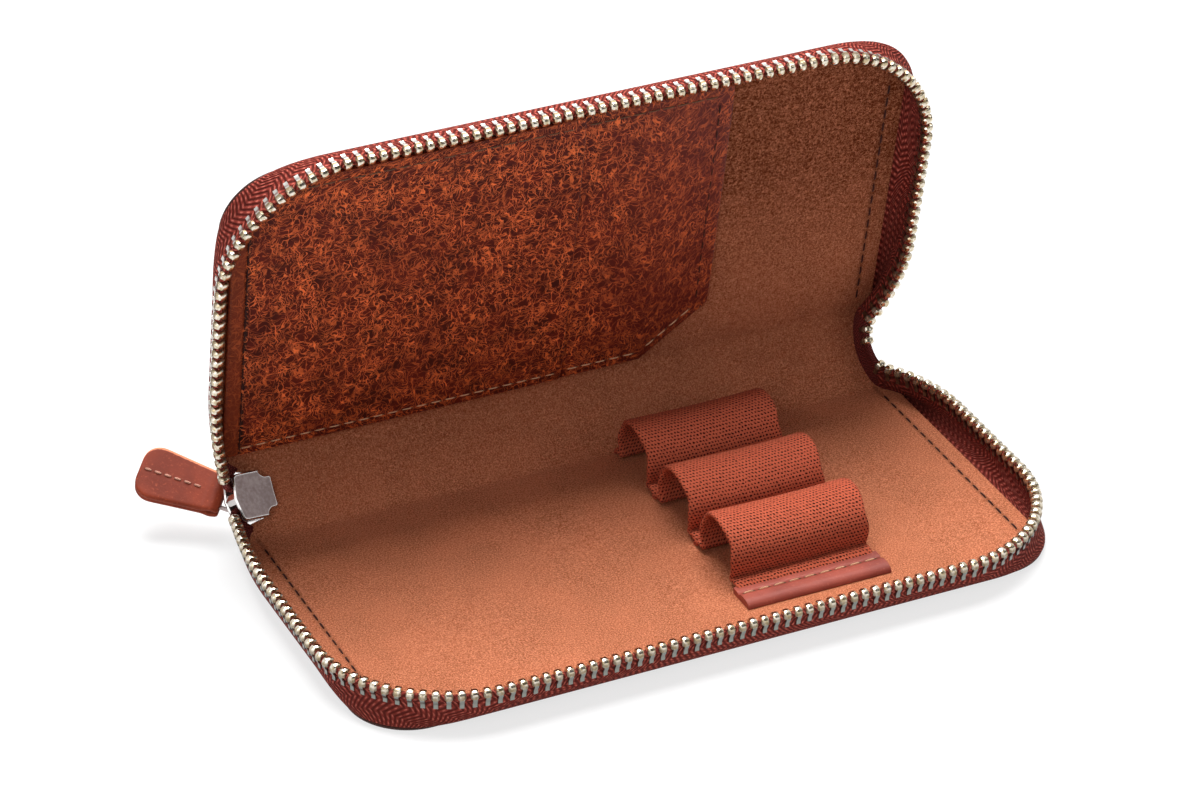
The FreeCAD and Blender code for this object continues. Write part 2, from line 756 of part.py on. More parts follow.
def pull_tab():
    """Leather tab of two layers, folded round the link's far bar, with a rounded end."""
    bar_x = -link_length + link_wire
    start = bar_x + link_wire / 2 + tab_link_clearance + tab_wrap
    end = start - tab_length
    neck = tab_neck_width / 2
    wide = tab_width / 2
    y = -tab_thickness / 2
    corner_x = end + tab_end_bow + tab_end_radius
    corner_z = wide - tab_end_radius
    diagonal = tab_end_radius * math.sqrt(0.5)
    edges = [
        line(Vector(start, y, -neck), Vector(start, y, neck)),
        line(Vector(start, y, neck), Vector(corner_x, y, wide)),
        Part.Arc(Vector(corner_x, y, wide), Vector(corner_x - diagonal, y, corner_z + diagonal),
                 Vector(end + tab_end_bow, y, corner_z)).toShape(),
        Part.Arc(Vector(end + tab_end_bow, y, corner_z), Vector(end, y, 0),
                 Vector(end + tab_end_bow, y, -corner_z)).toShape(),
        Part.Arc(Vector(end + tab_end_bow, y, -corner_z),
                 Vector(corner_x - diagonal, y, -corner_z - diagonal), Vector(corner_x, y, -wide)).toShape(),
        line(Vector(corner_x, y, -wide), Vector(start, y, -neck)),
    ]
    body = Part.Face(Part.Wire(edges)).extrude(Vector(0, tab_thickness, 0))
    tunnel = Part.makeCylinder(link_wire / 2 + tab_link_clearance, tab_width,
                               Vector(bar_x, 0, -tab_width / 2), Vector(0, 0, 1))
    slot_start = bar_x - link_wire / 2 - tab_link_clearance
    slot_width = link_width + 2 * tab_link_clearance
    web_width = link_width - 2 * link_wire - 2 * tab_link_clearance
    slot = Part.makeBox(start - slot_start, tab_thickness, slot_width,
                        Vector(slot_start, y, -slot_width / 2))
    web = Part.makeBox(start - slot_start, tab_thickness, web_width, Vector(slot_start, y, -web_width / 2))
    web = web.common(body).cut(tunnel)
    return pull_frame(body.cut(slot).fuse(web).removeSplitter())


def pull_tab_stitch():
    """One row of stitches along the middle of the tab, on its two faces."""
    start = -link_length - tab_stitch_start + link_wire
    run_of = []
    for number in range(tab_stitch_count):
        for y in (-tab_thickness / 2 - stitch_height, tab_thickness / 2):
            run_of.append(pull_frame(Part.makeBox(
                tab_stitch_length, stitch_height, stitch_width,
                Vector(start - number * tab_stitch_pitch, y, -stitch_width / 2))))
    return Part.makeCompound(run_of)


def tray_pieces():
    """The tray half with its loops."""
    pieces = {
        "tray_cover": cover("tray"),
        "tray_board": board("tray"),
        "tray_lining": lining("tray"),
        "tray_tape": tape("tray"),
        "tray_teeth": teeth("tray"),
        "tray_seam_left": side_seam("tray", -1, lining_top),
        "tray_seam_right": side_seam("tray", 1, lining_top),
        "loop_strip": loop_strip(),
        "loop_strip_stitches": strip_stitches(),
    }
    for number, place in enumerate(("front", "middle", "back")):
        pieces["loop_" + place] = loop(number)
    return pieces


def lid_pieces():
    """The lid half with its pocket."""
    return {
        "lid_cover": cover("lid"),
        "lid_board": board("lid"),
        "lid_lining": lining("lid"),
        "lid_tape": tape("lid"),
        "lid_teeth": teeth("lid"),
        "lid_seam_left": side_seam("lid", -1, lining_top + panel_thickness),
        "lid_seam_right": side_seam("lid", 1, lining_top),
        "pocket_panel": pocket_panel(),
        "pocket_stitches_light": pocket_stitches_light(),
        "pocket_stitches_dark": pocket_stitches_dark(),
    }


def spine_pieces():
    """The spine with its tape ends, and the slider with its pull."""
    return {
        "spine_cover": spine_cover(),
        "spine_reinforcement": spine_layer(-reinforcement_half_length, reinforcement_half_length,
                                           reinforcement_gap, 0, board_thickness),
        "spine_lining": spine_lining(),
        "spine_tape_right": bare_tape_end(),
        "spine_tape_left": slider_tape_end(),
        "slider_body": slider_body(),
        "slider_bail": slider_bail(),
        "pull_link": pull_link(),
        "pull_tab": pull_tab(),
        "pull_tab_stitches": pull_tab_stitch(),
    }


def main():
    """Writes one file for each piece."""
    os.makedirs("parts", exist_ok=True)
    for name, shape in tray_pieces().items():
        shape.exportStep("parts/" + name + ".step")
    for name, shape in lid_pieces().items():
        opened_lid(shape).exportStep("parts/" + name + ".step")
    for name, shape in spine_pieces().items():
        opened_spine(shape).exportStep("parts/" + name + ".step")


main()
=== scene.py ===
import math

import bmesh
import bpy
import numpy as np
from mathutils import Matrix


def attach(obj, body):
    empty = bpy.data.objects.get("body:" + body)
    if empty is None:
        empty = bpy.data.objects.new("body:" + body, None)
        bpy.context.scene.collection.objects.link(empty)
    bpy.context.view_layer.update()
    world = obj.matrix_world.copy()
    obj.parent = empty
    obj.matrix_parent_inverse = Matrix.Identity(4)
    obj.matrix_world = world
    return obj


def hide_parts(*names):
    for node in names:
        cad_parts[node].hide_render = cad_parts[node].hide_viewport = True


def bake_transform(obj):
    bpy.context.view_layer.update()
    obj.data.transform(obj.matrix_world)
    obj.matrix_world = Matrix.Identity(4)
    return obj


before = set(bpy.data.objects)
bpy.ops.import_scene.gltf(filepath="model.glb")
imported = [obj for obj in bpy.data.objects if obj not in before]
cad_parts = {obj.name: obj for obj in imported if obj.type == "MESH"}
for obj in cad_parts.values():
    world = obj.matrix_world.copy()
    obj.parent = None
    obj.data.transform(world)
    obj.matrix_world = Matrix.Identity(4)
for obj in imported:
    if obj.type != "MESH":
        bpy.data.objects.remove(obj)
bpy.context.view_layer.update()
scene = bpy.context.scene

# Stage: a long lens looks down from the front left at the open case, which stands on a plain
# pale floor under soft studio lamps. What the camera or a gloss sees past the case is white.
view_azimuth, view_elevation, view_roll = (math.radians(angle) for angle in (-25.598, 31.574, 0.468))
view_place = (-0.35192, -0.71083, 0.52453)
view_lens, view_film = 141.62, 36.0
room_light, room_shade, floor_reach, floor_grey, floor_glow = 0.3, 0.88, 4.0, 0.9, 0.72


class Wire:
    """An output socket in a shader sum. Each operator adds the Math node that it stands for."""

    def __init__(self, tree, socket=None):
        self.tree = tree
        self.socket = socket

    def node(self, kind, settings=None, sockets=None, out=0):
        """Adds any shader node: its settings first, then the values or links of its sockets."""
        made = self.tree.nodes.new("ShaderNode" + kind)
        for name, value in (settings or {}).items():
            setattr(made, name, value)
        for name, value in (sockets or {}).items():
            if isinstance(value, Wire):
                self.tree.links.new(value.socket, made.inputs[name])
            else:
                made.inputs[name].default_value = value
        return Wire(self.tree, made.outputs[out])

    def out(self, name):
        """Another output of the same node."""
        return Wire(self.tree, self.socket.node.outputs[name])

    def math(self, operation, *terms):
        return self.node("Math", {"operation": operation}, dict(enumerate(terms)))

    def most(self, other):
        return self.math("MAXIMUM", self, other)

    def __add__(self, other):
        return self.math("ADD", self, other)

    def __radd__(self, other):
        return self.math("ADD", other, self)

    def __sub__(self, other):
        return self.math("SUBTRACT", self, other)

    def __rsub__(self, other):
        return self.math("SUBTRACT", other, self)

    def __mul__(self, other):
        return self.math("MULTIPLY", self, other)

    def __rmul__(self, other):
        return self.math("MULTIPLY", other, self)

    def __abs__(self):
        return self.math("ABSOLUTE", self)


def either_ray(start):
    """1 for a ray from the camera, or one that a gloss or a clear thing sends on."""
    path = start.node("LightPath")
    return path.out("Is Camera Ray").most(path.out("Is Glossy Ray").most(path.out("Is Transmission Ray")))


def between(value, low, high):
    """A soft step of the value, from 0 at low to 1 at high."""
    return value.node("MapRange", {"interpolation_type": "SMOOTHSTEP"},
                      {"Value": value, "From Min": low, "From Max": high})


def fade(share, first, second):
    """One light or surface faded into another by the share."""
    return share.node("MixShader", {}, {0: share, 1: first, 2: second})


def put(name, data):
    """Makes an object of a mesh, a lamp or a camera, and puts it in the scene."""
    made = bpy.data.objects.new(name, data)
    scene.collection.objects.link(made)
    return made


world = bpy.data.worlds.new("studio")
world.use_nodes = True
scene.world = world
sky = Wire(world.node_tree)
dim, white, black = (sky.node("Background", {}, {"Color": (tone, tone, tone, 1), "Strength": power})
                     for tone, power in ((1, room_light), (1, 1), (0, 0)))
ray = sky.node("SeparateXYZ", {}, {0: sky.node("TexCoord")})
# A gloss sees the room behind the camera as dark, which gives the metal its contrast.
unlit = between(ray.out("X") * 0.25 - ray.out("Y") * 0.9, -0.1, 0.5) * room_shade
gloss = sky.node("LightPath").out("Is Glossy Ray")
room = fade(unlit * gloss, fade(either_ray(sky), dim, white), black)
world.node_tree.links.new(room.socket, world.node_tree.nodes["World Output"].inputs["Surface"])

floor_mesh = bpy.data.meshes.new("floor")
corners = ((-1, -1), (1, -1), (1, 1), (-1, 1))
floor_mesh.from_pydata([(x * floor_reach, y * floor_reach, 0) for x, y in corners], [], [(0, 1, 2, 3)])
paper = bpy.data.materials.new("floor_paper")
paper.use_nodes = True
matt = paper.node_tree.nodes["Principled BSDF"]
matt.inputs["Base Color"].default_value = (floor_grey, floor_grey, floor_grey, 1)
matt.inputs["Roughness"].default_value = 0.9
matt = Wire(paper.node_tree, matt.outputs[0])
glow = matt.node("Emission", {}, {"Color": (1, 1, 1, 1), "Strength": 1.0})
shown = fade(either_ray(matt) * floor_glow, matt, glow)
paper.node_tree.links.new(shown.socket, paper.node_tree.nodes["Material Output"].inputs["Surface"])
floor_mesh.materials.append(paper)
put("floor", floor_mesh)


def unit(way):
    """The same ways, each with a length of 1."""
    return way / np.maximum(np.linalg.norm(way, axis=-1, keepdims=True), 1e-9)


def stand(name, data, ways, place):
    """Puts a camera or a lamp at its place, with its own X, Y and Z along the three ways."""
    made = put(name, data)
    rows = [[*row, at] for row, at in zip(np.array(ways).T.tolist(), place)]
    made.matrix_world = Matrix(rows + [[0, 0, 0, 1]])
    return made


def lamp(name, place, aim, size, power):
    """A square soft lamp that faces its aim."""
    light = bpy.data.lights.new(name, "AREA")
    light.size = size
    light.energy = power
    toward = unit(np.array(place) - np.array(aim))
    side = unit(np.cross((0.0, 1.0, 0.1), toward))
    stand(name, light, [side, np.cross(toward, side), toward], place)


back = np.array([math.sin(view_azimuth) * math.cos(view_elevation),
                 -math.cos(view_azimuth) * math.cos(view_elevation), math.sin(view_elevation)])
level = np.array([math.cos(view_azimuth), math.sin(view_azimuth), 0.0])
right = level * math.cos(view_roll) + np.cross(back, level) * math.sin(view_roll)
camera = bpy.data.cameras.new("view")
camera.lens, camera.sensor_width, camera.clip_end = view_lens, view_film, 50.0
scene.camera = stand("view", camera, [right, np.cross(back, right), back], view_place)
scene.view_settings.view_transform = "Standard"
lamp("overhead", (0.05, 0.30, 0.9), (0, -0.02, 0), 0.6, 18.0)
lamp("left_side", (-0.7, -0.6, 0.6), (0, 0, 0.03), 0.6, 2.0)
lamp("right_side", (0.7, -0.7, 0.5), (0, 0, 0.03), 0.6, 1.0)

# Cover leather: each half is one panel of firm red-brown hide with a rounded, stained cut edge.
# The same hide runs on over the spine, so the panel stops short of the fold, under the fold's piece.
half_length, half_depth, corner_radius = 76.0, 72.8, 13.0
closed_thickness, fold_angle = 20.0, math.radians(39.75)
cover_thickness, fold_cut, weld = 1.25, 3.0, 2e-6
corner_centre_x, fold_y = half_length - corner_radius, half_depth / 2
# The outline runs into each end of a fold on a quarter of an ellipse: its reach across, and its run.
fold_left_radius, fold_left_run = 5.0, 14.0
fold_right_radius, fold_right_run = 9.0, 3.5
spine_left, spine_right = half_length - fold_left_radius, half_length - fold_right_radius
spine_width = closed_thickness - 2 * cover_thickness
along_spine = np.array([0.0, math.sin(fold_angle), math.cos(fold_angle)])
off_spine = np.array([0.0, -math.cos(fold_angle), math.sin(fold_angle)])
tray_axis = np.array([0.0, fold_y, cover_thickness])
# Each half's frame: its fold's axis, the ways over the half and in from its leather, and the way
# from the fold over the spine.
folds = {"tray": (tray_axis, np.array([0.0, -1.0, 0.0]), np.array([0.0, 0.0, 1.0]), along_spine),
         "lid": (tray_axis + spine_width * along_spine,
                 np.array([0.0, -math.cos(2 * fold_angle), math.sin(2 * fold_angle)]),
                 np.array([0.0, -math.sin(2 * fold_angle), -math.cos(2 * fold_angle)]), -along_spine)}


def stack(*parts):
    """Joins arrays of one coordinate each into points."""
    return np.stack(np.broadcast_arrays(*parts), -1)


def mix(share, first, last):
    """Values between two others, by the share."""
    return first * (1 - share) + last * share


def bezier(share, first, leave, arrive, last):
    """A cubic curve from the first to the last place, drawn towards leave and then arrive."""
    rest = 1 - share
    return rest ** 3 * first + 3 * rest ** 2 * share * leave + 3 * rest * share ** 2 * arrive \
        + share ** 3 * last


def eased(count):
    """Shares from 0 to 1 that lie closer together towards both ends."""
    return 0.5 - 0.5 * np.cos(np.linspace(0, math.pi, count))


def quarter(share):
    """Height of a quarter circle that rises steeply from 0 and comes level at 1."""
    return np.sqrt(1 - np.clip(1 - share, 0, 1) ** 2)


def lay(half, places):
    """Turns places of a half, as (x, away from the fold, up from the outer face), into the open case."""
    origin, over, up, _ = folds[half]
    return origin + places[..., 1:2] * over + (places[..., 2:] - cover_thickness) * up \
        + stack(places[..., 0], 0.0, 0.0)


def measure(grid):
    """Distance in mm along the rows and along the columns of a grid, from its first corner."""
    down = np.linalg.norm(np.diff(grid, axis=-3), axis=-1).mean(-1, keepdims=True)
    over = np.linalg.norm(np.diff(grid, axis=-2), axis=-1)
    down = np.concatenate([np.zeros_like(down[..., :1, :]), np.cumsum(down, -2)], -2)
    over = np.concatenate([np.zeros_like(over[..., :1]), np.cumsum(over, -1)], -1)
    return stack(down, over)


def from_rims(grid):
    """The same two distances, each from the nearer end of its row or column."""
    down, over = np.moveaxis(measure(grid), -1, 0)
    return stack(np.minimum(down, down[..., -1:, :] - down), np.minimum(over, over[..., -1:] - over))


def piece(name, grids, material, body, slot, nodes=(), maps=None, crease=38.0):
    """Makes one mesh of grids of points in mm, each (..., rows, columns, 3). A face fills each cell,
    edges that lie together are merged, and every closed skin then faces outwards. maps holds a
    place on the surface, in mm, for each point of each grid."""
    points, corners, marks, start = [], [], [], 0
    for number, grid in enumerate(grids):
        index = start + np.arange(grid.size // 3).reshape(grid.shape[:-1])
        corners.append(np.stack([index[..., :-1, :-1], index[..., :-1, 1:],
                                 index[..., 1:, 1:], index[..., 1:, :-1]], -1).reshape(-1, 4))
        points.append(grid.reshape(-1, 3))
        here = maps[number] if maps else measure(grid)
        marks.append(np.broadcast_to(here, (*grid.shape[:-1], 2)).reshape(-1, 2))
        start += grid.size // 3
    corners, points, marks = (np.concatenate(rows) for rows in (corners, points, marks))
    mesh = bpy.data.meshes.new(name)
    mesh.from_pydata((points / 1000).tolist(), [], corners.tolist())
    layer = mesh.uv_layers.new(name="surface")
    layer.data.foreach_set("uv", (marks[corners.ravel()] / 1000).ravel())
    shell = bmesh.new()
    shell.from_mesh(mesh)
    bmesh.ops.remove_doubles(shell, verts=shell.verts, dist=weld)
    bmesh.ops.recalc_face_normals(shell, faces=shell.faces)
    shell.to_mesh(mesh)
    shell.free()
    mesh.shade_smooth()
    mesh.set_sharp_from_angle(angle=math.radians(crease))
    mesh.materials.append(material)
    made = put(name, mesh)
    if body:
        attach(made, body)
    if nodes:
        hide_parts(*nodes)
    return made


def sheet(middle, half, sides="tblr", closed=False):
    """A closed skin round a middle surface: it lies half the thickness out and in along the surface's
    normal. First and last row (t, b) and first and last column (l, r) get a rounded edge, or a
    square one where the letter is a capital. Returns the two sides as one array of two grids."""
    ahead, beside = np.gradient(middle, axis=0), np.gradient(middle, axis=1)
    if closed:
        ahead[0] = ahead[-1] = middle[1] - middle[-2]
    half = np.broadcast_to(half, middle.shape[:2]).astype(float)[..., None]
    bundle = np.concatenate([middle, unit(np.cross(ahead, beside)), half], -1)
    round_edge = np.linspace(0, math.pi / 2, 4)[1:, None, None]
    for side in sides:
        across, last = side.lower() in "lr", side.lower() in "br"
        grid = bundle.swapaxes(0, 1) if across else bundle
        grid = grid[::-1] if last else grid
        edge, away = grid[0], unit(grid[0][:, :3] - grid[1][:, :3])
        turn = round_edge if side.islower() else round_edge[-1:]
        rows = [edge[:, :3] + away * edge[:, 6:] * np.sin(turn) * side.islower(),
                np.repeat(edge[None, :, 3:6], len(turn), 0), edge[:, 6:] * np.cos(turn)]
        grid = np.concatenate([np.concatenate(rows, -1)[::-1], grid])
        grid = grid[::-1] if last else grid
        bundle = grid.swapaxes(0, 1) if across else grid
    middle, reach = bundle[..., :3], bundle[..., 3:6] * bundle[..., 6:]
    return np.stack([middle + reach, middle - reach])


def bend(centre, radius, start, stop, count):
    """Places on an arc in a half's own plane, its angle in degrees from +X towards the front. The
    radius may be a pair, across and deep."""
    across, deep = np.broadcast_to(radius, 2)
    angle = np.radians(np.linspace(start, stop, count))
    return stack(centre[0] + across * np.cos(angle), centre[1] + deep * np.sin(angle))


def straight(first, last, count):
    """Places on the straight line between two others, without the two."""
    return mix(np.linspace(0, 1, count)[1:-1, None], first, last)


def half_corners(inset):
    """Centre and radius of a half's four corners, drawn in by inset: at the fold's right end, at the
    front right, at the front left and at the fold's left end."""
    far, radius = half_depth - corner_radius, corner_radius - inset
    return [((spine_right, fold_right_run), (fold_right_radius - inset, fold_right_run)),
            ((corner_centre_x, far), radius), ((-corner_centre_x, far), radius),
            ((-spine_left, fold_left_run), (fold_left_radius - inset, fold_left_run))]


def half_ring(inset):
    """The outline of a half, drawn in by inset and cut off square before the fold."""
    corners = [bend(*corner, start, start + 90, 25)
               for corner, start in zip(half_corners(inset), (-90, 0, 90, 180))]
    runs = []
    for corner, after, count in zip(corners, corners[1:] + corners[:1], (24, 60, 24, 60)):
        runs += [corner, straight(corner[-1], after[0], count)]
    ring = np.concatenate(runs + [corners[0][:1]])
    return stack(ring[:, 0], np.maximum(ring[:, 1], fold_cut))


def half_sheet(inset, height, wave=0.0, rings=16):
    """Middle surface of a half's flat layer: rows go round the outline, and columns from its edge in
    to the line along its middle. wave lifts it by long slow swells."""
    edge = half_ring(inset)
    core_end = half_length - half_depth / 2
    core = stack(np.clip(edge[:, 0], -core_end, core_end), half_depth / 2)
    share = np.sin(np.linspace(math.pi / 2, 0, rings))[None, :, None]
    flat = mix(share, core[:, None], edge[:, None])
    x, depth = flat[..., 0], flat[..., 1]
    swell = np.sin(x / 9.0 + 0.7 * np.sin(depth / 7.0)) * np.sin(depth / 11.0 + 0.8 * np.sin(x / 13.0))
    rim = np.clip((1 - share[..., 0]) * 6, 0, 1)
    return stack(x, depth, height + wave * swell * rim)


def rgb(red, green, blue):
    """A colour that is read as 0 to 255 on screen, in the linear values that a shader takes."""
    part = np.array([red, green, blue]) / 255
    linear = np.where(part <= 0.04045, part / 12.92, ((part + 0.055) / 1.055) ** 2.4)
    return (*linear.tolist(), 1.0)


def noise(place, size, detail=2.0, rough=0.5, twist=0.0, out=0):
    """Cloudy noise with features of about that size in mm."""
    return place.node("TexNoise", {}, {"Vector": place, "Scale": 1000 / size, "Detail": detail,
                                                "Roughness": rough, "Distortion": twist}, out)


def tint(share, first, second):
    """A colour mixed from the first to the second by the share."""
    return share.node("Mix", {"data_type": "RGBA"}, {0: share, 6: first, 7: second}, 2)


def mm(place, number, size=1.0):
    """One coordinate of a place, in mm or in steps of that size in mm."""
    return place.node("SeparateXYZ", {}, {0: place}, number) * (1000 / size)


def finish(name, build, **plain):
    """A material. build(place, uv) returns its varying inputs as {"Base Color": wire, ...}, with the
    height of its relief in mm under "relief". The plain values go straight on the shader."""
    material = bpy.data.materials.new(name)
    material.use_nodes = True
    shader = material.node_tree.nodes["Principled BSDF"]
    for socket, value in plain.items():
        shader.inputs[socket.replace("_", " ")].default_value = value
    place = Wire(material.node_tree).node("TexCoord")
    wires = build(place.out("Object"), place.out("UV"))
    relief = wires.pop("relief")
    wires["Normal"] = relief.node("Bump", {}, {"Height": relief, "Distance": 0.001, "Strength": 1.0})
    for socket, wire in wires.items():
        material.node_tree.links.new(wire.socket, shader.inputs[socket])
    return material


def hide_look(dark, light, pale, rim, grain=0.9, rim_width=1.0):
    """Smooth tanned hide: clouded colour, a fine pebbled grain, and paler rubbed spots. The cut edge,
    by the surface's rims, has a colour of its own."""
    def build(place, uv):
        cloud = noise(place, 9.0, 3.0)
        pebble = noise(place, grain, 3.0, 0.6, 0.4)
        fleck = between(noise(place, 0.5), 0.58, 0.75)
        colour = tint(fleck * 0.35, tint(between(cloud, 0.3, 0.7), dark, light), pale)
        edge = mm(uv, 1) + (noise(place, 0.6) - 0.5) * 0.3
        colour = tint(between(edge, rim_width + 0.25, rim_width), colour, rim)
        return {"Base Color": colour, "relief": pebble * 0.05, "Roughness": 0.42 + 0.25 * pebble}
    return build


cover_leather = finish("cover_leather", hide_look(rgb(128, 55, 35), rgb(142, 62, 40), rgb(176, 88, 58),
                                                  rgb(58, 24, 14)), Specular_IOR_Level=0.35)


def skived(grid):
    """Half the hide's thickness at each point of a grid, pared down over the last 2 mm by its edge."""
    return cover_thickness / 2 * (0.5 + 0.5 * np.clip(from_rims(grid)[..., 1] / 2.0, 0, 1) ** 0.7)


for half in ("tray", "lid"):
    hide = half_sheet(cover_thickness / 2, cover_thickness / 2)
    body = sheet(lay(half, hide), skived(hide), "l", closed=True)
    piece(half + "_cover_leather", [body], cover_leather, half, "cover_leather", [half + "_cover"])

# Spine leather: the cover's hide goes on over the spine in one strip. It is skived at the edges and
# turns round each fold between its half and the spine.
skin_overlap, notch_round, fold_reach = 0.02, 0.7, 6.0
waist_depth, waist_half = 2.6, 5.2


def fold_curve(half, lift, start, handle):
    """Line across a fold, lifted off the fold axis: straight over the half, round the fold on a Bezier
    curve between two places at start from it, and straight over the spine to its middle. Also gives
    how far each of its points is from the fold over the half, and how far over the spine."""
    origin, over, up, spine = folds[half]
    near, far = origin + start * over + lift * up, origin + start * spine + lift * off_spine
    t = np.linspace(0, 1, 11)[1:-1, None]
    round_fold = bezier(t, near, near - handle * over, far - handle * spine, far)
    depth = np.linspace(fold_reach, start, 14)[:, None]
    rest = np.linspace(start, spine_width / 2, 22)[:, None]
    runs = ((origin + depth * over + lift * up, depth, 0 * depth), (round_fold, start * (1 - t), 0 * t),
            (origin + rest * spine + lift * off_spine, 0 * rest, rest))
    return (np.concatenate(parts) for parts in zip(*runs))


def fold_skin(half, inset, lift, start, handle, thickness, notches, least_right):
    """Skin over a fold: rows go across the fold, and columns from its left edge to its right one,
    which follow the half's rounded corners. At the left the spine is notched round the slider, by
    each (reach, start for the tray, start for the lid) of notches. At the right it is waisted."""
    line, depth, over = fold_curve(half, lift, start, handle)
    trim = thickness / 2 * (1 - np.clip(depth / fold_cut, 0, 1))
    left, right = (centre - trim + (radius - inset - thickness / 2) * quarter(depth / run)
                   for centre, radius, run in ((spine_left, fold_left_radius, fold_left_run),
                                               (spine_right, fold_right_radius, fold_right_run)))
    for deep, from_tray, from_lid in notches:
        step = np.clip((over - (from_tray if half == "tray" else from_lid)) / notch_round, 0, 1)
        left = left - deep * np.sin(step * math.pi / 2)
    waist = least_right + waist_depth * np.minimum(((spine_width / 2 - over) / waist_half) ** 2, 1)
    middle = line[:, None] + stack(mix(eased(71), -left, np.maximum(right, waist)), 0.0, 0.0)
    half_width = skived(middle) if thickness == cover_thickness else thickness / 2
    return sheet(middle, half_width + skin_overlap, "TBlr")


def blend_fold(made, half, near, far):
    """Bakes a piece's place into its mesh; it does not bend it with the half's fold.
    The place in mm on the half and the one on the spine are not used.
    """
    near, far = tuple(near / 1000), tuple(far / 1000)
    if half == "tray":
        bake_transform(made)
        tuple(near)
        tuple(far)
    else:
        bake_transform(made)
        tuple(far)
        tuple(near)


def bend_over_fold(made, half, distance):
    """Gives blend_fold the places at that distance each side of the fold; the piece is not bent."""
    origin, over, _, spine = folds[half]
    blend_fold(made, half, origin + distance * over, origin + distance * spine)


for half in ("tray", "lid"):
    skin = fold_skin(half, 0.0, -cover_thickness / 2, 0.0, 0.15, cover_thickness, [(6.6, 3.4, 2.5)], 69.6)
    made = piece(half + "_fold_leather", [skin], cover_leather, None, "cover_leather", ["spine_cover"],
                 [from_rims(skin)])
    bend_over_fold(made, half, 1.2)

# Boards: thin grey card stiffens each half and the spine between the leather and the suede.
def card_look(place, uv):
    """Grey pressed card with pulp flecks."""
    pulp = noise(place, 1.2, 4.0, 0.7)
    return {"Base Color": tint(between(pulp, 0.35, 0.65), rgb(140, 126, 108), rgb(172, 158, 138)),
            "relief": pulp * 0.03}


card = finish("board_card", card_look, Roughness=0.85)
for name in ("tray_board", "lid_board", "spine_reinforcement"):
    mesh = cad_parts[name].data
    mesh.materials.clear()
    mesh.materials.append(card)

# Suede lining: one orange-brown sheet in each half, stuck down to its board and stitched in at the
# sides. It runs on over the spine, where its two lengths turn round the folds.
lining_thickness, lining_inset, lining_top = 0.6, 1.6, 2.35
seam_x = 70.5


def suede_look(place, uv):
    """Brushed nap: short fine fibres, coarser on the spine and the lid, which lie away from the light
    and carry painted shade there. Each side seam is pressed into a shallow groove, which is painted
    darker, as shade."""
    height = mm(place, 2)
    # Painted shade: up the spine and on the lid, which face away from the lamps, the colour is painted
    # darker; the nap there is also coarser.
    painted_shade_coarse_nap = between(height, 2.0, 16.0) * 0.5 + between(height, 20.0, 65.0) * 0.55
    grain = noise(place, 0.3, 2.0, 0.7, 0.3)
    tuft = noise(place, 0.55, 2.0, 0.65, 1.0)
    nap = between(grain * (1 - painted_shade_coarse_nap * 0.6) + tuft * painted_shade_coarse_nap * 0.6, 0.3, 0.7)
    drift = between(noise(place, 12.0), 0.3, 0.7)
    colour = tint(nap, tint(drift, rgb(152, 78, 46), rgb(180, 96, 62)), rgb(232, 150, 112))
    colour = tint(painted_shade_coarse_nap * (1.05 - 0.6 * nap), colour, rgb(76, 28, 0))
    beside_spine = between(height, 3.0, 2.4).most(between(height, 21.0, 22.0))
    groove = between(abs(abs(mm(place, 0)) - seam_x), 0.9, 0.1) * beside_spine
    # Painted shade: the groove along each side seam is painted darker, as the shade in it.
    colour = tint(groove * 0.32, colour, rgb(60, 24, 10))
    return {"Base Color": colour, "relief": nap * 0.22 - groove * 0.25}


suede = finish("suede", suede_look, Roughness=0.95, Specular_IOR_Level=0.1)
for half in ("tray", "lid"):
    layer = half_sheet(lining_inset + lining_thickness / 2, lining_top - lining_thickness / 2, 0.08, 26)
    body = sheet(lay(half, layer), lining_thickness / 2, "l", closed=True)
    piece(half + "_suede", [body], suede, half, "suede_lining", [half + "_lining"])
    skin = fold_skin(half, lining_inset, 0.8, 2.2, 1.3, lining_thickness,
                     [(3.5, 3.9, 3.0), (3.1, 7.0, 6.1)], 69.8)
    made = piece(half + "_fold_suede", [skin], suede, None, "suede_lining", ["spine_lining"])
    bend_over_fold(made, half, 2.2)

# Zip tape: red-brown herringbone twill, sewn in between leather and lining. It comes out flat at the
# edge, curls up to stand on end, and its free edge is a thick corded bead that the teeth grip.
tape_half, tape_root, bead_radius, bead_middle = 0.28, 1.5, 0.72, 7.7
turned_up = bead_middle - 1.9
row_half_length, row_depth, row_corner_radius = 77.8, 76.7, 28.0
# The row turns inwards at its left and its right end, each by a (radius, reach), and ends that near
# to the fold.
row_turns, row_end = ((110.0, 2.5), (34.0, 7.3)), 2.0


def zip_run(arcs):
    """Places along four arcs and the straight sides between them, each arc being (centre, radius,
    start, stop). Every run has its points in step with the others."""
    bends = [bend(*arc, count) for arc, count in zip(arcs, (26, 34, 34, 26))]
    runs = [bends[0]]
    for before, after, count in zip(bends, bends[1:], (36, 100, 36)):
        runs += [straight(before[-1], after[0], count), after]
    return np.concatenate(runs)


def root_run(inset):
    """Where the tape leaves the cover's edge, or a line further in."""
    turns = ((246, 180), (180, 90), (90, 0), (0, -50))
    return zip_run([(*corner, *turn) for corner, turn in zip(half_corners(inset)[::-1], turns)])


def row_run():
    """The line that the teeth follow, which turns in at its two ends."""
    inner, front = row_half_length - row_corner_radius, row_depth - row_corner_radius
    ends, angles = [], []
    for side, (radius, turn_in) in zip((-1, 1), row_turns):
        angle = math.acos((radius - turn_in) / radius)
        start = row_end + radius * math.sin(angle)
        ends.append(((side * (row_half_length - radius), start), radius))
        angles.append(math.degrees(angle))
    return zip_run([(*ends[0], 180 + angles[0], 180), ((-inner, front), row_corner_radius, 180, 90),
                    ((inner, front), row_corner_radius, 90, 0), (*ends[1], 0, -angles[1])])


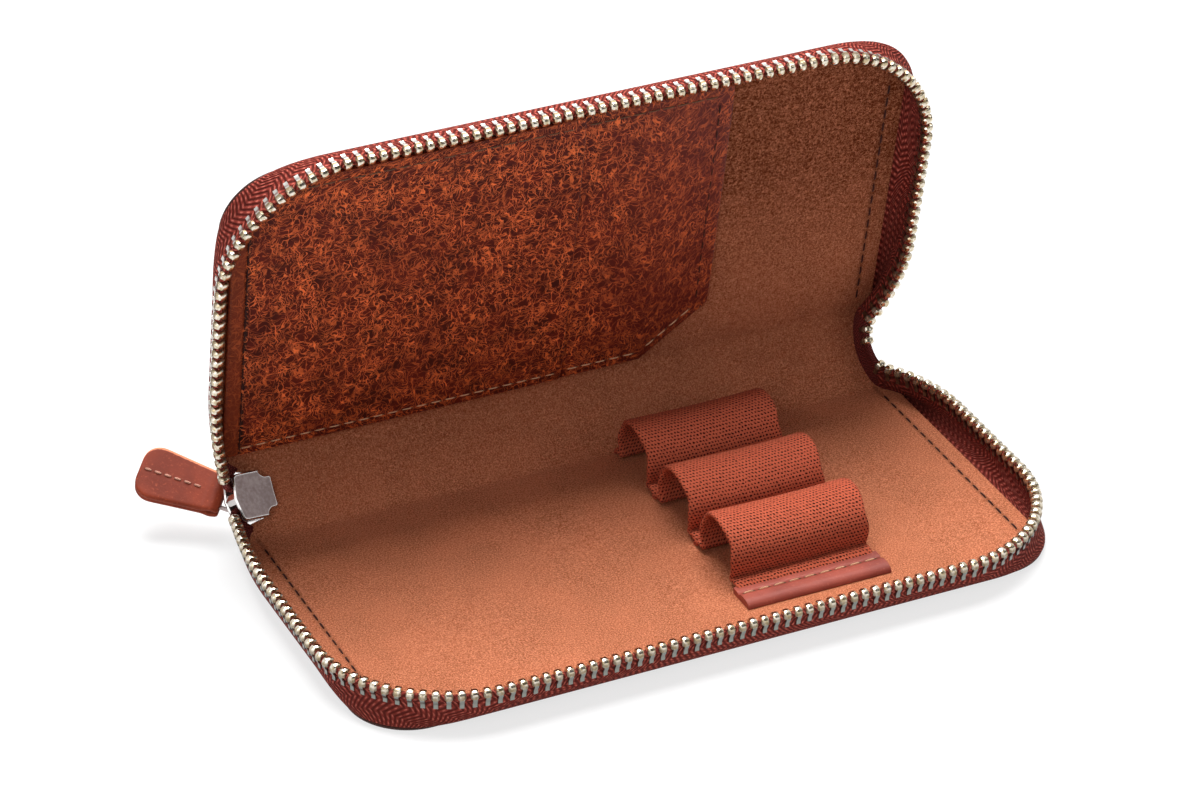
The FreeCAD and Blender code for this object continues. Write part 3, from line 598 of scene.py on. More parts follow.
def tape_surface():
    """Middle surface of the tape: rows go along it, and columns from its sewn edge to the bead's top.
    It bellies out over the cover's edge and rises to the line of the teeth, on one Bezier curve."""
    root, inner, row = root_run(1.0)[:, None], root_run(4.0)[:, None], row_run()[:, None]
    bulge = np.clip((row[..., 1:] - 45.0) / 15, 0, 1)
    belly = mix(bulge, root_run(0.3)[:, None], root_run(-1.2)[:, None])
    margin = np.linspace(1, 0, 4)[:-1, None]
    t = np.linspace(0, 1, 14)[:, None]
    curve, risen = bezier(t, root, belly, row, row), bezier(t, tape_root, 2.9 / 3, 10.0 / 3, turned_up)
    swing = np.linspace(math.asin(tape_half / bead_radius), math.pi, 11)
    upright = np.linspace(turned_up, bead_middle - bead_radius * math.cos(swing[0]), 4)[1:-1]
    bead = bead_middle - bead_radius * np.cos(swing)
    standing = np.repeat(row, len(upright) + len(bead), 1)
    flat = np.concatenate([mix(margin, root, inner), curve, standing], 1)
    height = np.concatenate([0 * margin[:, 0] + tape_root, risen[:, 0], upright, bead])
    half = np.concatenate([np.full(len(height) - len(bead), tape_half), bead_radius * np.sin(swing)])
    return stack(flat[..., 0], flat[..., 1], height[None]), np.broadcast_to(half, flat.shape[:2])


def crest(value):
    """A wave between 0 and 1, with one crest to each full turn of the value."""
    return value.math("SINE", value) * 0.5 + 0.5


def twill_look(dark, light, pale, size=1.0):
    """Herringbone twill: slanted ribs that change their slant from one column to the next, each a row
    of short plump floats. A smaller size makes the weave finer."""
    def build(place, uv):
        along, over = mm(uv, 0, size), mm(uv, 1, size)
        column = over * (1 / 2.3)
        slant = (along + column.math("PINGPONG", column, 1.0) * 1.9) * (2 * math.pi / 1.15)
        plump = crest(over * (2 * math.pi / 1.1) + slant * 0.5)
        thread = noise(place, 0.3, 2.0, 0.7)
        raised = crest(slant) * (0.5 + 0.5 * plump)
        colour = tint(between(raised + (thread - 0.5) * 0.7, 0.0, 0.6), dark, light)
        colour = tint(between(raised + (thread - 0.5) * 0.5, 0.6, 1.0) * 0.8, colour, pale)
        # Painted shade: low down on the tray the tape is painted darker, as it stands in shade there.
        colour = tint(between(mm(place, 2), 16.0, 8.0) * 0.35, colour, dark)
        return {"Base Color": colour, "relief": raised * 0.2 + thread * 0.06}
    return build


twill = finish("tape_twill", twill_look(rgb(76, 22, 16), rgb(134, 52, 42), rgb(202, 108, 92)),
               Roughness=0.85, Specular_IOR_Level=0.15)
for half in ("tray", "lid"):
    surface, half_width = tape_surface()
    piece(half + "_zip_tape", [sheet(lay(half, surface), half_width, "TBL")], twill, half, "zip_tape",
          [half + "_tape"])

# Teeth: each is stamped from nickel silver, with a rounded block for a head and two flat legs that
# are clenched on the bead. The lid's row stands half a pitch behind the tray's.
tooth_pitch, first_tooth, tooth_top = 2.45, 1.1, 1.55


def tooth_template():
    """One tooth as grids in (along, across, up) with the bead's middle at 0: the head's eight-sided
    rings shrink to a dome at its top, and each leg is a flat bar that follows the bead down."""
    outline = np.array([(1, -0.6), (1, 0.6), (0.6, 1), (-0.6, 1), (-1, 0.6), (-1, -0.6), (-0.6, -1),
                        (0.6, -1), (1, -0.6)])
    rings = np.array([(tooth_top, 0.0, 0.0), (1.5, 0.42, 0.42), (1.33, 0.64, 0.78), (1.02, 0.78, 1.05),
                      (0.5, 0.82, 1.2), (0.1, 0.8, 1.2), (-0.2, 0.6, 1.0), (-0.2, 0.0, 0.0)])
    head = stack(rings[:, 1:2] * outline[:, 0], rings[:, 2:3] * outline[:, 1], rings[:, :1])
    line = np.array([(0.2, 0.98), (-0.15, 0.98), (-0.45, 0.9), (-0.85, 0.62), (-1.3, 0.46), (-2.1, 0.44)])
    corner = np.array([(-1, 1), (1, 1), (1, -1), (-1, -1), (-1, 1)]) * (0.44, 0.15)
    bar = stack(corner[:, 0], line[:, 1:] + corner[:, 1], line[:, :1])
    caps = [end.mean(1, keepdims=True).repeat(5, 1) for end in (bar[:1], bar[-1:])]
    bar = np.concatenate([caps[0], bar, caps[1]])
    return [head, bar, bar * (1, -1, 1)]


def stepped(line):
    """Distance along a line at each of its points."""
    return np.concatenate([[0], np.cumsum(np.linalg.norm(np.diff(line, axis=0), axis=1))])


def pick(places, step, values):
    """The values of a line's points, read off between them at places along it."""
    return stack(*(np.interp(places, step, column) for column in values.T))


def set_along(template, line, places):
    """Copies of a template at places in mm along a line of a half, turned to follow it."""
    step, shape = stepped(line), (len(places), 1, 1, 2)
    way = unit(pick(places, step, np.gradient(line, axis=0) / np.gradient(step)[:, None]))
    side = stack(-way[:, 1], way[:, 0])
    flat = pick(places, step, line).reshape(shape) + template[..., :1] * way.reshape(shape) \
        + template[..., 1:2] * side.reshape(shape)
    return stack(flat[..., 0], flat[..., 1], template[..., 2])


def nickel_look(place, uv):
    """Nickel silver: each head is bright and warm on top and rougher down its flanks, which carry
    painted shade, stronger on the lid. The legs are duller and greyer: painted dark low down, as
    shade, and painted bright high up on the lid, as a painted reflection of the sky."""
    spot = noise(place, 0.8, 3.0, 0.6)
    leg = between(mm(uv, 1), 4.0, 6.0)
    high = between(mm(place, 2), 14.0, 60.0)
    colour = tint(between(spot, 0.35, 0.65), rgb(230, 222, 208), rgb(186, 168, 134))
    # Painted shade: the head's flanks are painted darker, more so on the lid.
    flank = between(mm(uv, 1), 0.5, 1.1)
    colour = tint(flank * (0.55 + 0.35 * high), colour, rgb(112, 94, 70))
    # Painted light: the legs are dark grey low down, as shade, and bright high on the lid, as a painted
    # reflection.
    legs = tint(high, rgb(132, 134, 128), rgb(204, 202, 196))
    return {"Base Color": tint(leg, colour, legs), "relief": noise(place, 0.8, 1.0) * 0.03,
            "Roughness": 0.1 + 0.12 * spot + 0.4 * flank - 0.26 * leg}


nickel = finish("tooth_nickel", nickel_look, Metallic=1.0)
# A head's marks count down from its top, and a leg's lie far off, so that the finish tells them apart.
tooth_marks = [stack(0.0, tooth_top - tooth_template()[0][..., 2]), np.full(2, 10.0), np.full(2, 10.0)]
row = row_run()
for half, start in (("tray", first_tooth), ("lid", first_tooth + tooth_pitch / 2)):
    places = np.arange(start, stepped(row)[-1] - 0.5, tooth_pitch)
    parts = [lay(half, set_along(part, row, places) + (0, 0, bead_middle)) for part in tooth_template()]
    piece(half + "_zip_teeth", parts, nickel, half, "zip_teeth", [half + "_teeth"], tooth_marks, crease=24)

# Zip ends: past the end of each row the tape runs on over the fold with a last tooth or two. At the
# right the bare tape of both halves meets over the middle of the spine, and at the left each half's
# tape goes into its mouth of the slider.
fine_twill = finish("tape_end_twill", twill_look(rgb(76, 22, 20), rgb(122, 50, 46), rgb(176, 96, 86), 0.5),
                    Roughness=0.85, Specular_IOR_Level=0.15)
margin_tip, margin_cut, tape_rows = 0.08, 8, 22


def glide(first, leave, last, arrive, count):
    """A smooth run between two sets of places, that leaves and arrives along the two ways given."""
    share = np.linspace(0, 1, count).reshape(-1, *([1] * first.ndim))
    return bezier(share, first, first + leave / 3, last - arrive / 3, last)


def bridge(half, side, bead_place, bead_up, root_place, arrive, teeth_at):
    """The tape past a row's end: its end line glides to a line that stands on root_place and reaches
    up past bead_place, and its sewn margin is soon cut down. Teeth stand on its bead at those
    distances in mm."""
    surface, half_width = tape_surface()
    laid = lay(half, surface)
    if side == "right":
        laid, surface = laid[::-1], surface[::-1]
    start, way = laid[2], unit(laid[0] - laid[3])
    height, width = surface[0, :, 2:], half_width[0]
    share = np.clip((height - tape_root) / (turned_up - tape_root), 0, 1)
    foot = bead_place + (turned_up - bead_middle) * bead_up
    goal = np.where(height >= turned_up, bead_place + (height - bead_middle) * bead_up,
                    mix(share, root_place, foot))
    goal[:3, 0] += np.array([3.0, 2.0, 1.0]) * (-1 if side == "right" else 1)
    length = np.linalg.norm(goal - start, axis=1, keepdims=True)
    rows = glide(start, way * length, goal, arrive * length, tape_rows)
    uncut = np.clip(1 - margin_cut * np.linspace(0, 1, tape_rows), 0, 1)[:, None, None]
    rows[:, :3] = mix(mix(uncut, margin_tip, 1), rows[:, 3:4], rows[:, :3])
    skin = sheet(rows, np.where(width > 0, width + skin_overlap, 0), "TBL")
    ends = lay(half, stack(surface[[2, 3], -1, 0], surface[[2, 3], -1, 1], bead_middle))
    reach = np.linalg.norm(bead_place - ends[0])
    line = glide(ends[0], unit(ends[0] - ends[1]) * reach, bead_place, arrive * reach, 60)
    top = glide(start[-1], way[-1] * length[-1], goal[-1], arrive * length[-1], 60)
    at, ahead, up = (pick(teeth_at, stepped(line), values).reshape(-1, 1, 1, 3)
                     for values in (line, np.gradient(line, axis=0), top - line))
    ahead = unit(ahead)
    up = unit(up - (up * ahead).sum(-1, keepdims=True) * ahead)
    teeth = [at + part[..., :1] * ahead + part[..., 1:2] * np.cross(ahead, up) + part[..., 2:] * up
             for part in tooth_template()]
    for name, grids, look, slot, marks in (("tape", [skin], fine_twill, "zip_tape", None),
                                           ("teeth", teeth, nickel, "zip_teeth", tooth_marks)):
        made = piece(f"{half}_{side}_bridge_{name}", grids, look, None, slot, (), marks)
        blend_fold(made, half, ends[0], bead_place)


def on_spine(x, up, off):
    """A place on the spine: across, up from the tray's fold, and in from the fold axes."""
    return tray_axis + np.array([x, 0.0, 0.0]) + up * along_spine + off * off_spine


# Where the two bare tapes meet, the lid's stands a hair behind the tray's, so that no faces coincide.
for half, up_way, middle_off, teeth_at in (("tray", 1, 0.0, [1.9]), ("lid", -1, 0.02, [3.1, 5.5])):
    middle = spine_width / 2 + middle_off
    bridge(half, "right", on_spine(69.6, middle, 5.4), off_spine, on_spine(68.8, middle, 0.95),
           up_way * along_spine, teeth_at)

# Seams: dark waxed thread sews lining, tape and cover together down the two sides of each half. Each
# stitch lies in a shallow dip and dives into its hole at both ends.
stitch_pitch, stitch_length, stitch_rise, stitch_sunk = 3.2, 2.1, 0.16, 0.08
panel_top = lining_top + 1.3


def stitch_template(length, radius=0.2):
    """One stitch in (along, across, up): a round thread that arches from hole to hole."""
    t = np.linspace(-1, 1, 9)[:, None]
    angle = np.linspace(0, 2 * math.pi, 9)[None]
    thick = radius * np.sqrt(1 - np.abs(t) ** 3.5)
    return stack(t * length / 2, thick * np.cos(angle),
                 stitch_rise * (1 - t ** 2) - stitch_sunk + thick * np.sin(angle))


def sewn(start, end, height, length=stitch_length, pitch=stitch_pitch, radius=0.2):
    """Stitches between two places (x, away from the fold) of a half, on a surface at that height."""
    line = np.array([start, end], float)
    whole = stepped(line)[-1]
    count = int(whole / pitch)
    first = (whole - (count - 1) * pitch) / 2
    return set_along(stitch_template(length + 0.5, radius), line, first + pitch * np.arange(count)) \
        + (0, 0, height)


def thread(name, dark, light, half=1.35):
    """Twisted waxed thread, with painted shade where it dives into its hole at either end, half a
    stitch from its middle, and painted shade all along at the top of the lid, under the zip."""
    def build(place, uv):
        along, over = mm(uv, 0), mm(uv, 1)
        ply = crest((along * 1.6 + over) * (2 * math.pi / 0.5))
        # Painted shade: each end of a stitch is painted dark, as the shade in its hole.
        end = between(abs(along - half), half * 0.5, half * 0.9) * 0.8
        # Painted shade: high on the lid the thread lies in the zip's shade, so it is painted dark.
        painted_zip_shade = between(mm(place, 2), 66.0, 78.0) * 0.75
        colour = tint(end.most(painted_zip_shade), tint(ply, dark, light), rgb(36, 14, 8))
        return {"Base Color": colour, "relief": ply * 0.05}
    return finish(name, build, Roughness=0.7, Specular_IOR_Level=0.2)


dark_thread = thread("dark_thread", rgb(36, 12, 8), rgb(64, 24, 16))
light_thread = thread("light_thread", rgb(160, 112, 84), rgb(224, 180, 144))
for half, name, side, height in (("tray", "left", -1, lining_top), ("tray", "right", 1, lining_top),
                                 ("lid", "left", -1, panel_top + 0.1), ("lid", "right", 1, lining_top)):
    run = sewn((side * seam_x, 4.0), (side * seam_x, 62.0), height)
    piece(f"{half}_stitching_{name}", [lay(half, run)], dark_thread, half, "dark_thread",
          [f"{half}_seam_{name}"])

# Pocket: a panel of waxy pull-up hide, sewn to the lid's lining. Its left flap laps over the rest of
# it at an open slit, and its right edge is open too, with a cut-off corner by the fold.
panel_left, panel_right, panel_low, panel_high = -73.5, 33.4, 3.2, 70.9
panel_low_round, panel_high_round = 2.5, 10.0
cut_left, cut_rise = 19.0, 11.4
flap_middle, flap_half, under_middle, under_half = 3.12, 0.52, 2.85, 0.5


def flap_surface():
    """The flap left of the slit: rows go from left to right, columns from the fold's edge up. Its left
    end follows the case's rounded corner, and the panel's own at the top."""
    depth = mix(eased(61), panel_low, panel_high)[None]
    low = quarter(1 - (fold_left_radius - depth) / panel_low_round)
    high = quarter((panel_high - depth) / panel_high_round)
    left = panel_left + panel_low_round * (1 - low) + panel_high_round * (1 - high)
    share = np.concatenate([np.linspace(0, 0.09, 28), np.linspace(0.09, 1, 60)[1:]])[:, None]
    x = mix(share, left, 0.3)
    inside = np.clip((depth - panel_low) / 7, 0, 1) * np.clip((panel_high - depth) / 7, 0, 1)
    puff = 0.35 * inside ** 0.6 * np.clip((x - left) / 12, 0, 1)
    slit_lift = 0.45 * inside * np.clip((x + 9) / 9, 0, 1) ** 2
    ripple = 0.06 * np.sin(x / 6.0 + np.sin(depth / 8.0)) * np.sin(depth / 9.0) * inside
    groove = -0.22 * np.exp(-((x + seam_x) / 0.45) ** 2) * (depth < 63.0)
    return stack(x, depth, flap_middle + puff + slit_lift + ripple + groove)


def under_surface():
    """The part right of the slit: rows go from left to right, and its lower edge rises along the
    cut-off corner."""
    x = np.concatenate([np.linspace(-5, cut_left, 20), np.linspace(cut_left, panel_right, 16)[1:]])
    x = x[:, None]
    low = panel_low + np.maximum(x - cut_left, 0) * (cut_rise / (panel_right - cut_left))
    share = np.linspace(0, 1, 50)[None]
    depth = mix(share, low, panel_high)
    inside = np.clip(share / 0.12, 0, 1) * np.clip((1 - share) / 0.12, 0, 1)
    ripple = 0.05 * np.sin(x / 5.0 + np.sin(depth / 9.0)) * np.sin(depth / 11.0)
    return stack(x, depth, under_middle + (0.2 * np.clip((x + 5) / 10, 0, 1) + ripple) * inside)


def pull_up_look(place, uv):
    """Pull-up hide: dark wax broken by fine paler hair-like scuffs, thinning to the right. Each of a
    few layers takes the thin lines along which a drawn-out noise is at its middle, and keeps some."""
    sway = uv.node("VectorMath", {"operation": "SUBTRACT"},
                   {0: noise(uv, 2.2, 1.0, out=1), 1: (0.5, 0.5, 0.5)})
    wavy = sway.node("VectorMath", {"operation": "MULTIPLY_ADD"},
                     {0: sway, 1: (0.0024, 0.0024, 0.0), 2: uv})
    worn = None
    for number in range(7):
        drawn = wavy.node("Mapping", {"vector_type": "TEXTURE"},
                          {"Vector": wavy, "Location": (0.1 * number, 0.07 * number, 0.0),
                           "Rotation": (0.0, 0.0, 0.47 + number * 0.449),
                           "Scale": (0.0028 + 0.0004 * (number % 4), 0.0009, 1.0)})
        fine, kept = (drawn.node("TexNoise", {}, {"Vector": drawn, "Scale": scale, "Detail": 0.0})
                      for scale in (1.0, 0.83))
        layer = between(abs(fine - 0.5), 0.034, 0.012) * between(kept, 0.48, 0.56)
        layer = layer * (0.5 + 0.16 * (number % 4))
        worn = worn.most(layer) if worn else layer
    across = mm(place, 0)
    patch = between(noise(place, 9.0, 4.0, 0.65, 0.4), 0.38, 0.6)
    calm = between(across, -5.0, 25.0)
    margin = between(across, -70.4, -71.0)
    worn = worn * (0.55 + 0.45 * patch) * (1 - 0.35 * calm) * (1 - 0.7 * margin)
    cloud = between(noise(place, 5.0, 4.0, 0.6), 0.3, 0.7)
    ground = tint(calm * 0.7, tint(cloud, rgb(52, 8, 4), rgb(84, 20, 10)), rgb(86, 24, 16))
    ground = tint(margin * 0.6, ground, rgb(120, 50, 24))
    # Painted shade: a dark line is painted along the groove by the flap's seam.
    ground = tint(between(abs(across + 70.2), 0.5, 0.15), ground, rgb(30, 8, 4))
    return {"Base Color": tint(worn, ground, rgb(232, 112, 58)), "Roughness": 0.5 + 0.2 * worn,
            "relief": noise(place, 0.8, 3.0, 0.6) * 0.05 + worn * 0.04}


pull_up = finish("pull_up_leather", pull_up_look, Specular_IOR_Level=0.18)
flap = sheet(lay("lid", flap_surface()), flap_half, "tblr")
under = sheet(lay("lid", under_surface()), under_half, "Tblr")
piece("pocket_leather", [flap, under], pull_up, "lid", "pocket_leather", ["pocket_panel"])

hem, on_flap, on_under = 1.8, panel_top + 0.14, panel_top - 0.22
edge_x = panel_right - 2.7
light_runs = [sewn(start, end, height, 2.6, stitch_pitch, 0.13) for start, end, height in
              [((panel_left + 3.0, panel_low + hem), (0.0, panel_low + hem), on_flap),
               ((1.0, panel_low + hem), (cut_left, panel_low + hem), on_under),
               ((19.4, panel_low + 2.4), (panel_right - 2.9, 14.6), on_under),
               ((panel_left + 10.0, panel_high - hem), (0.0, panel_high - hem), on_flap),
               ((1.0, panel_high - hem), (edge_x, panel_high - hem), on_under)]]
dark_runs = [sewn((edge_x, 15.0), (edge_x, panel_high - 2.2), on_under)]
for name, runs, look in (("light", light_runs, light_thread), ("dark", dark_runs, dark_thread)):
    piece("pocket_stitching_" + name, [lay("lid", run) for run in runs], look, "lid", name + "_thread",
          ["pocket_stitches_" + name])

# Elastic loops: one band of rust-brown woven elastic rises in three round arches, and is sewn down to
# the tray between them.
loop_left, loop_width, elastic_thickness = 8.5, 30.7, 1.1
loop_middles = {"front": -12.45, "middle": 6.6, "back": 25.65}
arch_radius, arch_centre = 7.0, 4.75


def loop_surface(middle_y, tail):
    """Middle surface of one arch: rows go up its front, over the crown and down its back, columns from
    left to right. Its line is drawn through a few places and then smoothed."""
    crown = np.radians(np.linspace(215, -35, 24))
    line = np.concatenate([[(-9.0 - tail, 0.05), (-9.6, 0.05), (-8.6, 1.6)],
                           stack(arch_radius * np.cos(crown), arch_centre + arch_radius * np.sin(crown)),
                           [(8.6, 1.6), (9.0, 0.5)]])
    step = stepped(line)
    line = pick(np.linspace(0, step[-1], 76), step, line)
    for _ in range(6):
        line[1:-1] = (line[:-2] + 2 * line[1:-1] + line[2:]) / 4
    run, rise = line[:, :1], line[:, 1:]
    share = np.linspace(0, 1, 44)[None]
    bow = 0.25 * np.sin(rise * 0.9 + middle_y) * (1 - 2 * share) * np.clip(rise / 8, 0, 1)
    x = loop_left + elastic_thickness / 2 + share * (loop_width - elastic_thickness) + bow
    return stack(x, middle_y + run * (1 + 0.01 * np.sin(share * 5)),
                 lining_top + 0.2 + rise * (1 - 0.03 * np.sin(share * math.pi)))


def elastic_look(place, uv):
    """Woven elastic: plump ribs of rust-brown yarn, with a dark pinhole between each four of them."""
    uneven, tug = ((noise(place, size, 2.0, 0.6) - 0.5) * 0.7 for size in (1.6, 0.9))
    along, over = mm(uv, 0) + uneven, mm(uv, 1) + tug
    pitch = 0.74
    row_wave = along.math("SINE", along * (2 * math.pi / pitch))
    skew = over * (2 * math.pi / pitch) + along * (math.pi / pitch)
    hole = between(row_wave * 0.5 + skew.math("SINE", skew) * 0.5, 0.25, 0.8)
    yarn = noise(place, 0.35)
    raised = 1 - hole
    colour = tint(between(raised + (yarn - 0.5) * 1.4, 0.1, 1.15), rgb(84, 28, 14), rgb(188, 90, 64))
    return {"Base Color": tint(hole * 0.95, colour, rgb(34, 8, 4)), "relief": raised * 0.2 + yarn * 0.06}


elastic = finish("woven_elastic", elastic_look, Roughness=0.9, Specular_IOR_Level=0.15)
for name, middle_y in loop_middles.items():
    surface = loop_surface(middle_y, 3.4 if name == "front" else 0.4)
    piece("elastic_" + name, [sheet(surface, elastic_thickness / 2)], elastic, "tray", "elastic",
          ["loop_" + name])

# Strip: a folded strip of smooth hide covers the band's front end. A groove for its seam divides its
# flat back from its rolled front edge, and its ends are cut square and left raw.
strip_left, strip_right, strip_back, strip_front = 7.9, 39.8, -21.6, -28.2
strip_seam, strip_roll, seam_depth = 0.36, 0.72, fold_y + 23.9


def strip_surface():
    """Middle surface and half thickness: rows go along the strip, columns from its back to its front.
    Its top dips at the seam and rolls over at the front."""
    across = np.linspace(0, 1, 40)
    y = strip_back + (strip_front - strip_back) * across
    top = 1.25 - 0.4 * np.exp(-((across - strip_seam) / 0.07) ** 2)
    top = top + 0.3 * np.clip((across - 0.4) / 0.15, 0, 1)
    roll = np.sqrt(np.clip(1 - ((across - strip_roll) / 0.29) ** 2, 0.03, 1))
    top = top * np.where(across > strip_roll, roll, 1)
    x = np.linspace(strip_left, strip_right, 60)[:, None]
    half = (top + 0.04 * np.sin(x * 1.96) * np.exp(-((across - strip_seam) / 0.15) ** 2)) / 2
    return stack(x, y, lining_top + half), half


strip_leather = finish("strip_leather", hide_look(rgb(124, 50, 38), rgb(152, 68, 52), rgb(190, 104, 84),
                                                  rgb(150, 72, 52), 0.7, 0.3), Specular_IOR_Level=0.35)
surface, half_width = strip_surface()
piece("strip_hide", [sheet(surface, half_width, "TBLr")], strip_leather, "tray", "strip_leather",
      ["loop_strip"])
run = sewn((loop_left, seam_depth), (loop_left + loop_width, seam_depth), lining_top + 1.02, 2.5, 3.4)
piece("strip_stitching", [lay("tray", run)], light_thread, "tray", "light_thread", ["loop_strip_stitches"])

# Slider: a die-cast body, two plates joined by a wedge between its mouths and by side flanges. Its
# inner plate is satin with a polished bevelled rim, painted bright as a highlight, and a bail arches over
# its outer plate.
slider_x, slider_along_spine, slider_height, slider_yaw = -69.9, 9.2, 1.5, math.radians(16)
plate_low, plate_high, plate_bevel, flange = 1.55, 2.3, 0.28, 0.6


def turned(points, angle, first, second):
    """Turns points from one axis towards another."""
    made = points.astype(float).copy()
    made[..., first] = points[..., first] * math.cos(angle) - points[..., second] * math.sin(angle)
    made[..., second] = points[..., first] * math.sin(angle) + points[..., second] * math.cos(angle)
    return made


def at_slider(points):
    """Sets slider points in place: x runs from the mouths to the tail, y outwards, z up the spine."""
    spun = turned(points, slider_yaw, 0, 1)
    return tray_axis + stack(spun[..., 0] + slider_x, 0.0, 0.0) \
        + (spun[..., 2:] + slider_along_spine) * along_spine + (slider_height - spun[..., 1:2]) * off_spine


def slider_outline(length=9.6, width=9.7, tail=6.6):
    """The plate's outline: a blunt nose, straight sides, and a hollow notch down to the tail."""
    end, side, foot = length / 2, width / 2, tail / 2
    notch = np.radians(np.linspace(0, 90, 9))
    nose = [(-end, 0.0), (-end + 0.25, side * 0.3), (-end + 0.9, side - 0.5), (-end + 1.3, side - 0.1),
            (-end + 1.8, side)]
    hollow = stack(end - 2.8 + 2.0 * (1 - np.cos(notch)), side - 1.55 * np.sin(notch))
    upper = np.concatenate([nose, hollow, [(end - 0.3, foot), (end, foot - 0.3), (end, 0.0)]])
    return np.concatenate([upper, upper[-2::-1] * (1, -1)])


def plate_grid(outline, low, high):
    """A plate with bevelled rims: rings run from the middle of its lower face out, up and back in."""
    middle = stack(np.clip(outline[:, 0], -2, 2), 0.0)
    inner, rim = mix(0.5, middle, outline), outline - unit(outline - middle) * plate_bevel
    rings = [(middle, low), (inner, low), (rim, low), (outline, low + plate_bevel * 0.8),
             (outline, high - plate_bevel * 0.8), (rim, high), (inner, high), (middle, high)]
    return np.stack([stack(ring[:, 0], height, ring[:, 1]) for ring, height in rings])


def rounded_bar(low, high, bevel=0.12):
    """A box with bevelled edges between two corners, as rings along its x."""
    low, high = np.array(low, float), np.array(high, float)
    centre, size = (low + high) / 2, (high - low) / 2
    corner = np.array([(-1, -0.85), (-1, 0.85), (-0.85, 1), (0.85, 1), (1, 0.85), (1, -0.85),
                       (0.85, -1), (-0.85, -1), (-1, -0.85)])
    shrunk = 1 - bevel / size[1:].max()
    ends = [(-size[0], 0.0), (-size[0], shrunk), (bevel - size[0], 1.0), (size[0] - bevel, 1.0),
            (size[0], shrunk), (size[0], 0.0)]
    return np.stack([stack(centre[0] + x, centre[1] + size[1] * k * corner[:, 0],
                           centre[2] + size[2] * k * corner[:, 1]) for x, k in ends])


def slider_look(place, uv):
    """Plated zinc: satin faces with fine wear spots, and polished rims where the marks are low, which are
    also painted brighter, as a painted highlight.
    """
    spot = noise(place, 0.7, 3.0, 0.6)
    face = between(mm(uv, 1), 0.3, 1.2)
    cloud = between(spot * 0.6 + noise(place, 3.5) * 0.4, 0.35, 0.65)
    colour = tint(cloud, rgb(152, 134, 132), rgb(180, 164, 162))
    # Painted highlight: the polished rims are also painted brighter than the faces.
    return {"Base Color": tint(face, rgb(214, 210, 208), colour),
            "Roughness": 0.1 + 0.22 * face + 0.08 * spot, "relief": noise(place, 0.25) * 0.006}


satin = finish("slider_satin", slider_look, Metallic=1.0)
outline = slider_outline()
post = np.array([(-2.1, 0.7), (-4.2, 1.1), (-4.7, 0.0), (-4.2, -1.1), (-2.1, -0.7), (-2.1, 0.7)])
parts = [plate_grid(outline, -plate_high, -plate_low), plate_grid(outline, plate_low, plate_high),
         np.stack([stack(post[:, 0], height, post[:, 1]) for height in (-1.6, 1.6)])]
parts += [rounded_bar((-1.0, low, side), (2.0, high, side + flange))
          for side in (-4.85, 4.25) for low, high in ((-1.6, -0.7), (0.7, 1.6))]
# Where the marks are 0, the finish paints a highlight.
# Marks are 0 on the inner plate's rim and 10 inside it. The outer plate's are 0 at its nose only.
plate_marks = np.array([10, 10, 0, 0, 0, 0, 10, 10])[:, None, None] * np.ones((1, len(outline), 2))
outer_marks = np.where(outline[None, :, :1] < -1.5, plate_marks, 10)
marks = [plate_marks, outer_marks] + [np.zeros(2)] * (len(parts) - 2)
piece("slider_casting", [at_slider(part) for part in parts], satin, "slider", "slider_metal",
      ["slider_body"], marks, crease=25)

arch = np.radians(np.linspace(180, 0, 15))
bail = np.concatenate([[(-3.0, 2.0)], stack(3.0 * np.cos(arch), 2.6 + 1.45 * np.sin(arch)), [(3.0, 2.0)]])
lane = stack(bail[:, :1], bail[:, 1:], np.linspace(-0.6, 0.6, 5)[None])
chrome = finish("bail_chrome", slider_look, Metallic=1.0)
piece("bail_arch", [at_slider(sheet(lane, 0.28, "TBlr"))], chrome, "slider", "slider_metal",
      ["slider_bail"])

# Pull: a wire link runs under the bail, and a two-layer leather tab is folded round its far bar and
# sewn down its middle. The tab's edges are left raw and pale.
link_width, link_length, link_wire = 5.8, 5.2, 0.9
bar_x = link_wire - link_length
tab_tilt, tab_skew = math.radians(30), math.radians(40)
pull_pivot = (-1.2, 3.05, 0.0)


def at_pull(points):
    """Sets pull points in place: drawn flat, pointing to -X from the pivot, with its axis along z."""
    return at_slider(turned(turned(points, -tab_tilt, 0, 1), tab_skew, 2, 0) + pull_pivot)


def tube(line, radius, count=12):
    """A round bar along a closed line: a ring of points stands square to it at each place."""
    ahead = np.gradient(line, axis=0)
    ahead[0] = ahead[-1] = line[1] - line[-2]
    side = unit(np.cross(unit(ahead), (0.0, 1.0, 0.0)))
    up = np.cross(side, unit(ahead))
    angle = np.linspace(0, 2 * math.pi, count + 1)[None, :, None]
    return line[:, None] + radius * (np.cos(angle) * side[:, None] + np.sin(angle) * up[:, None])


def link_line(radius=0.7):
    """The link's line: a rectangle with rounded corners."""
    side, far = (link_width - link_wire) / 2 - radius, bar_x + radius
    arcs = [bend((x, z), radius, start, start + 90, 7) for (x, z), start in
            zip(((-radius, side), (far, side), (far, -side), (-radius, -side)), (0, 90, 180, 270))]
    line = np.concatenate(arcs + [arcs[0][:1]])
    return stack(line[:, 0], 0.0, line[:, 1])


piece("link_wire", [at_pull(tube(link_line(), link_wire / 2))], satin, "pull", "link_metal", ["pull_link"])


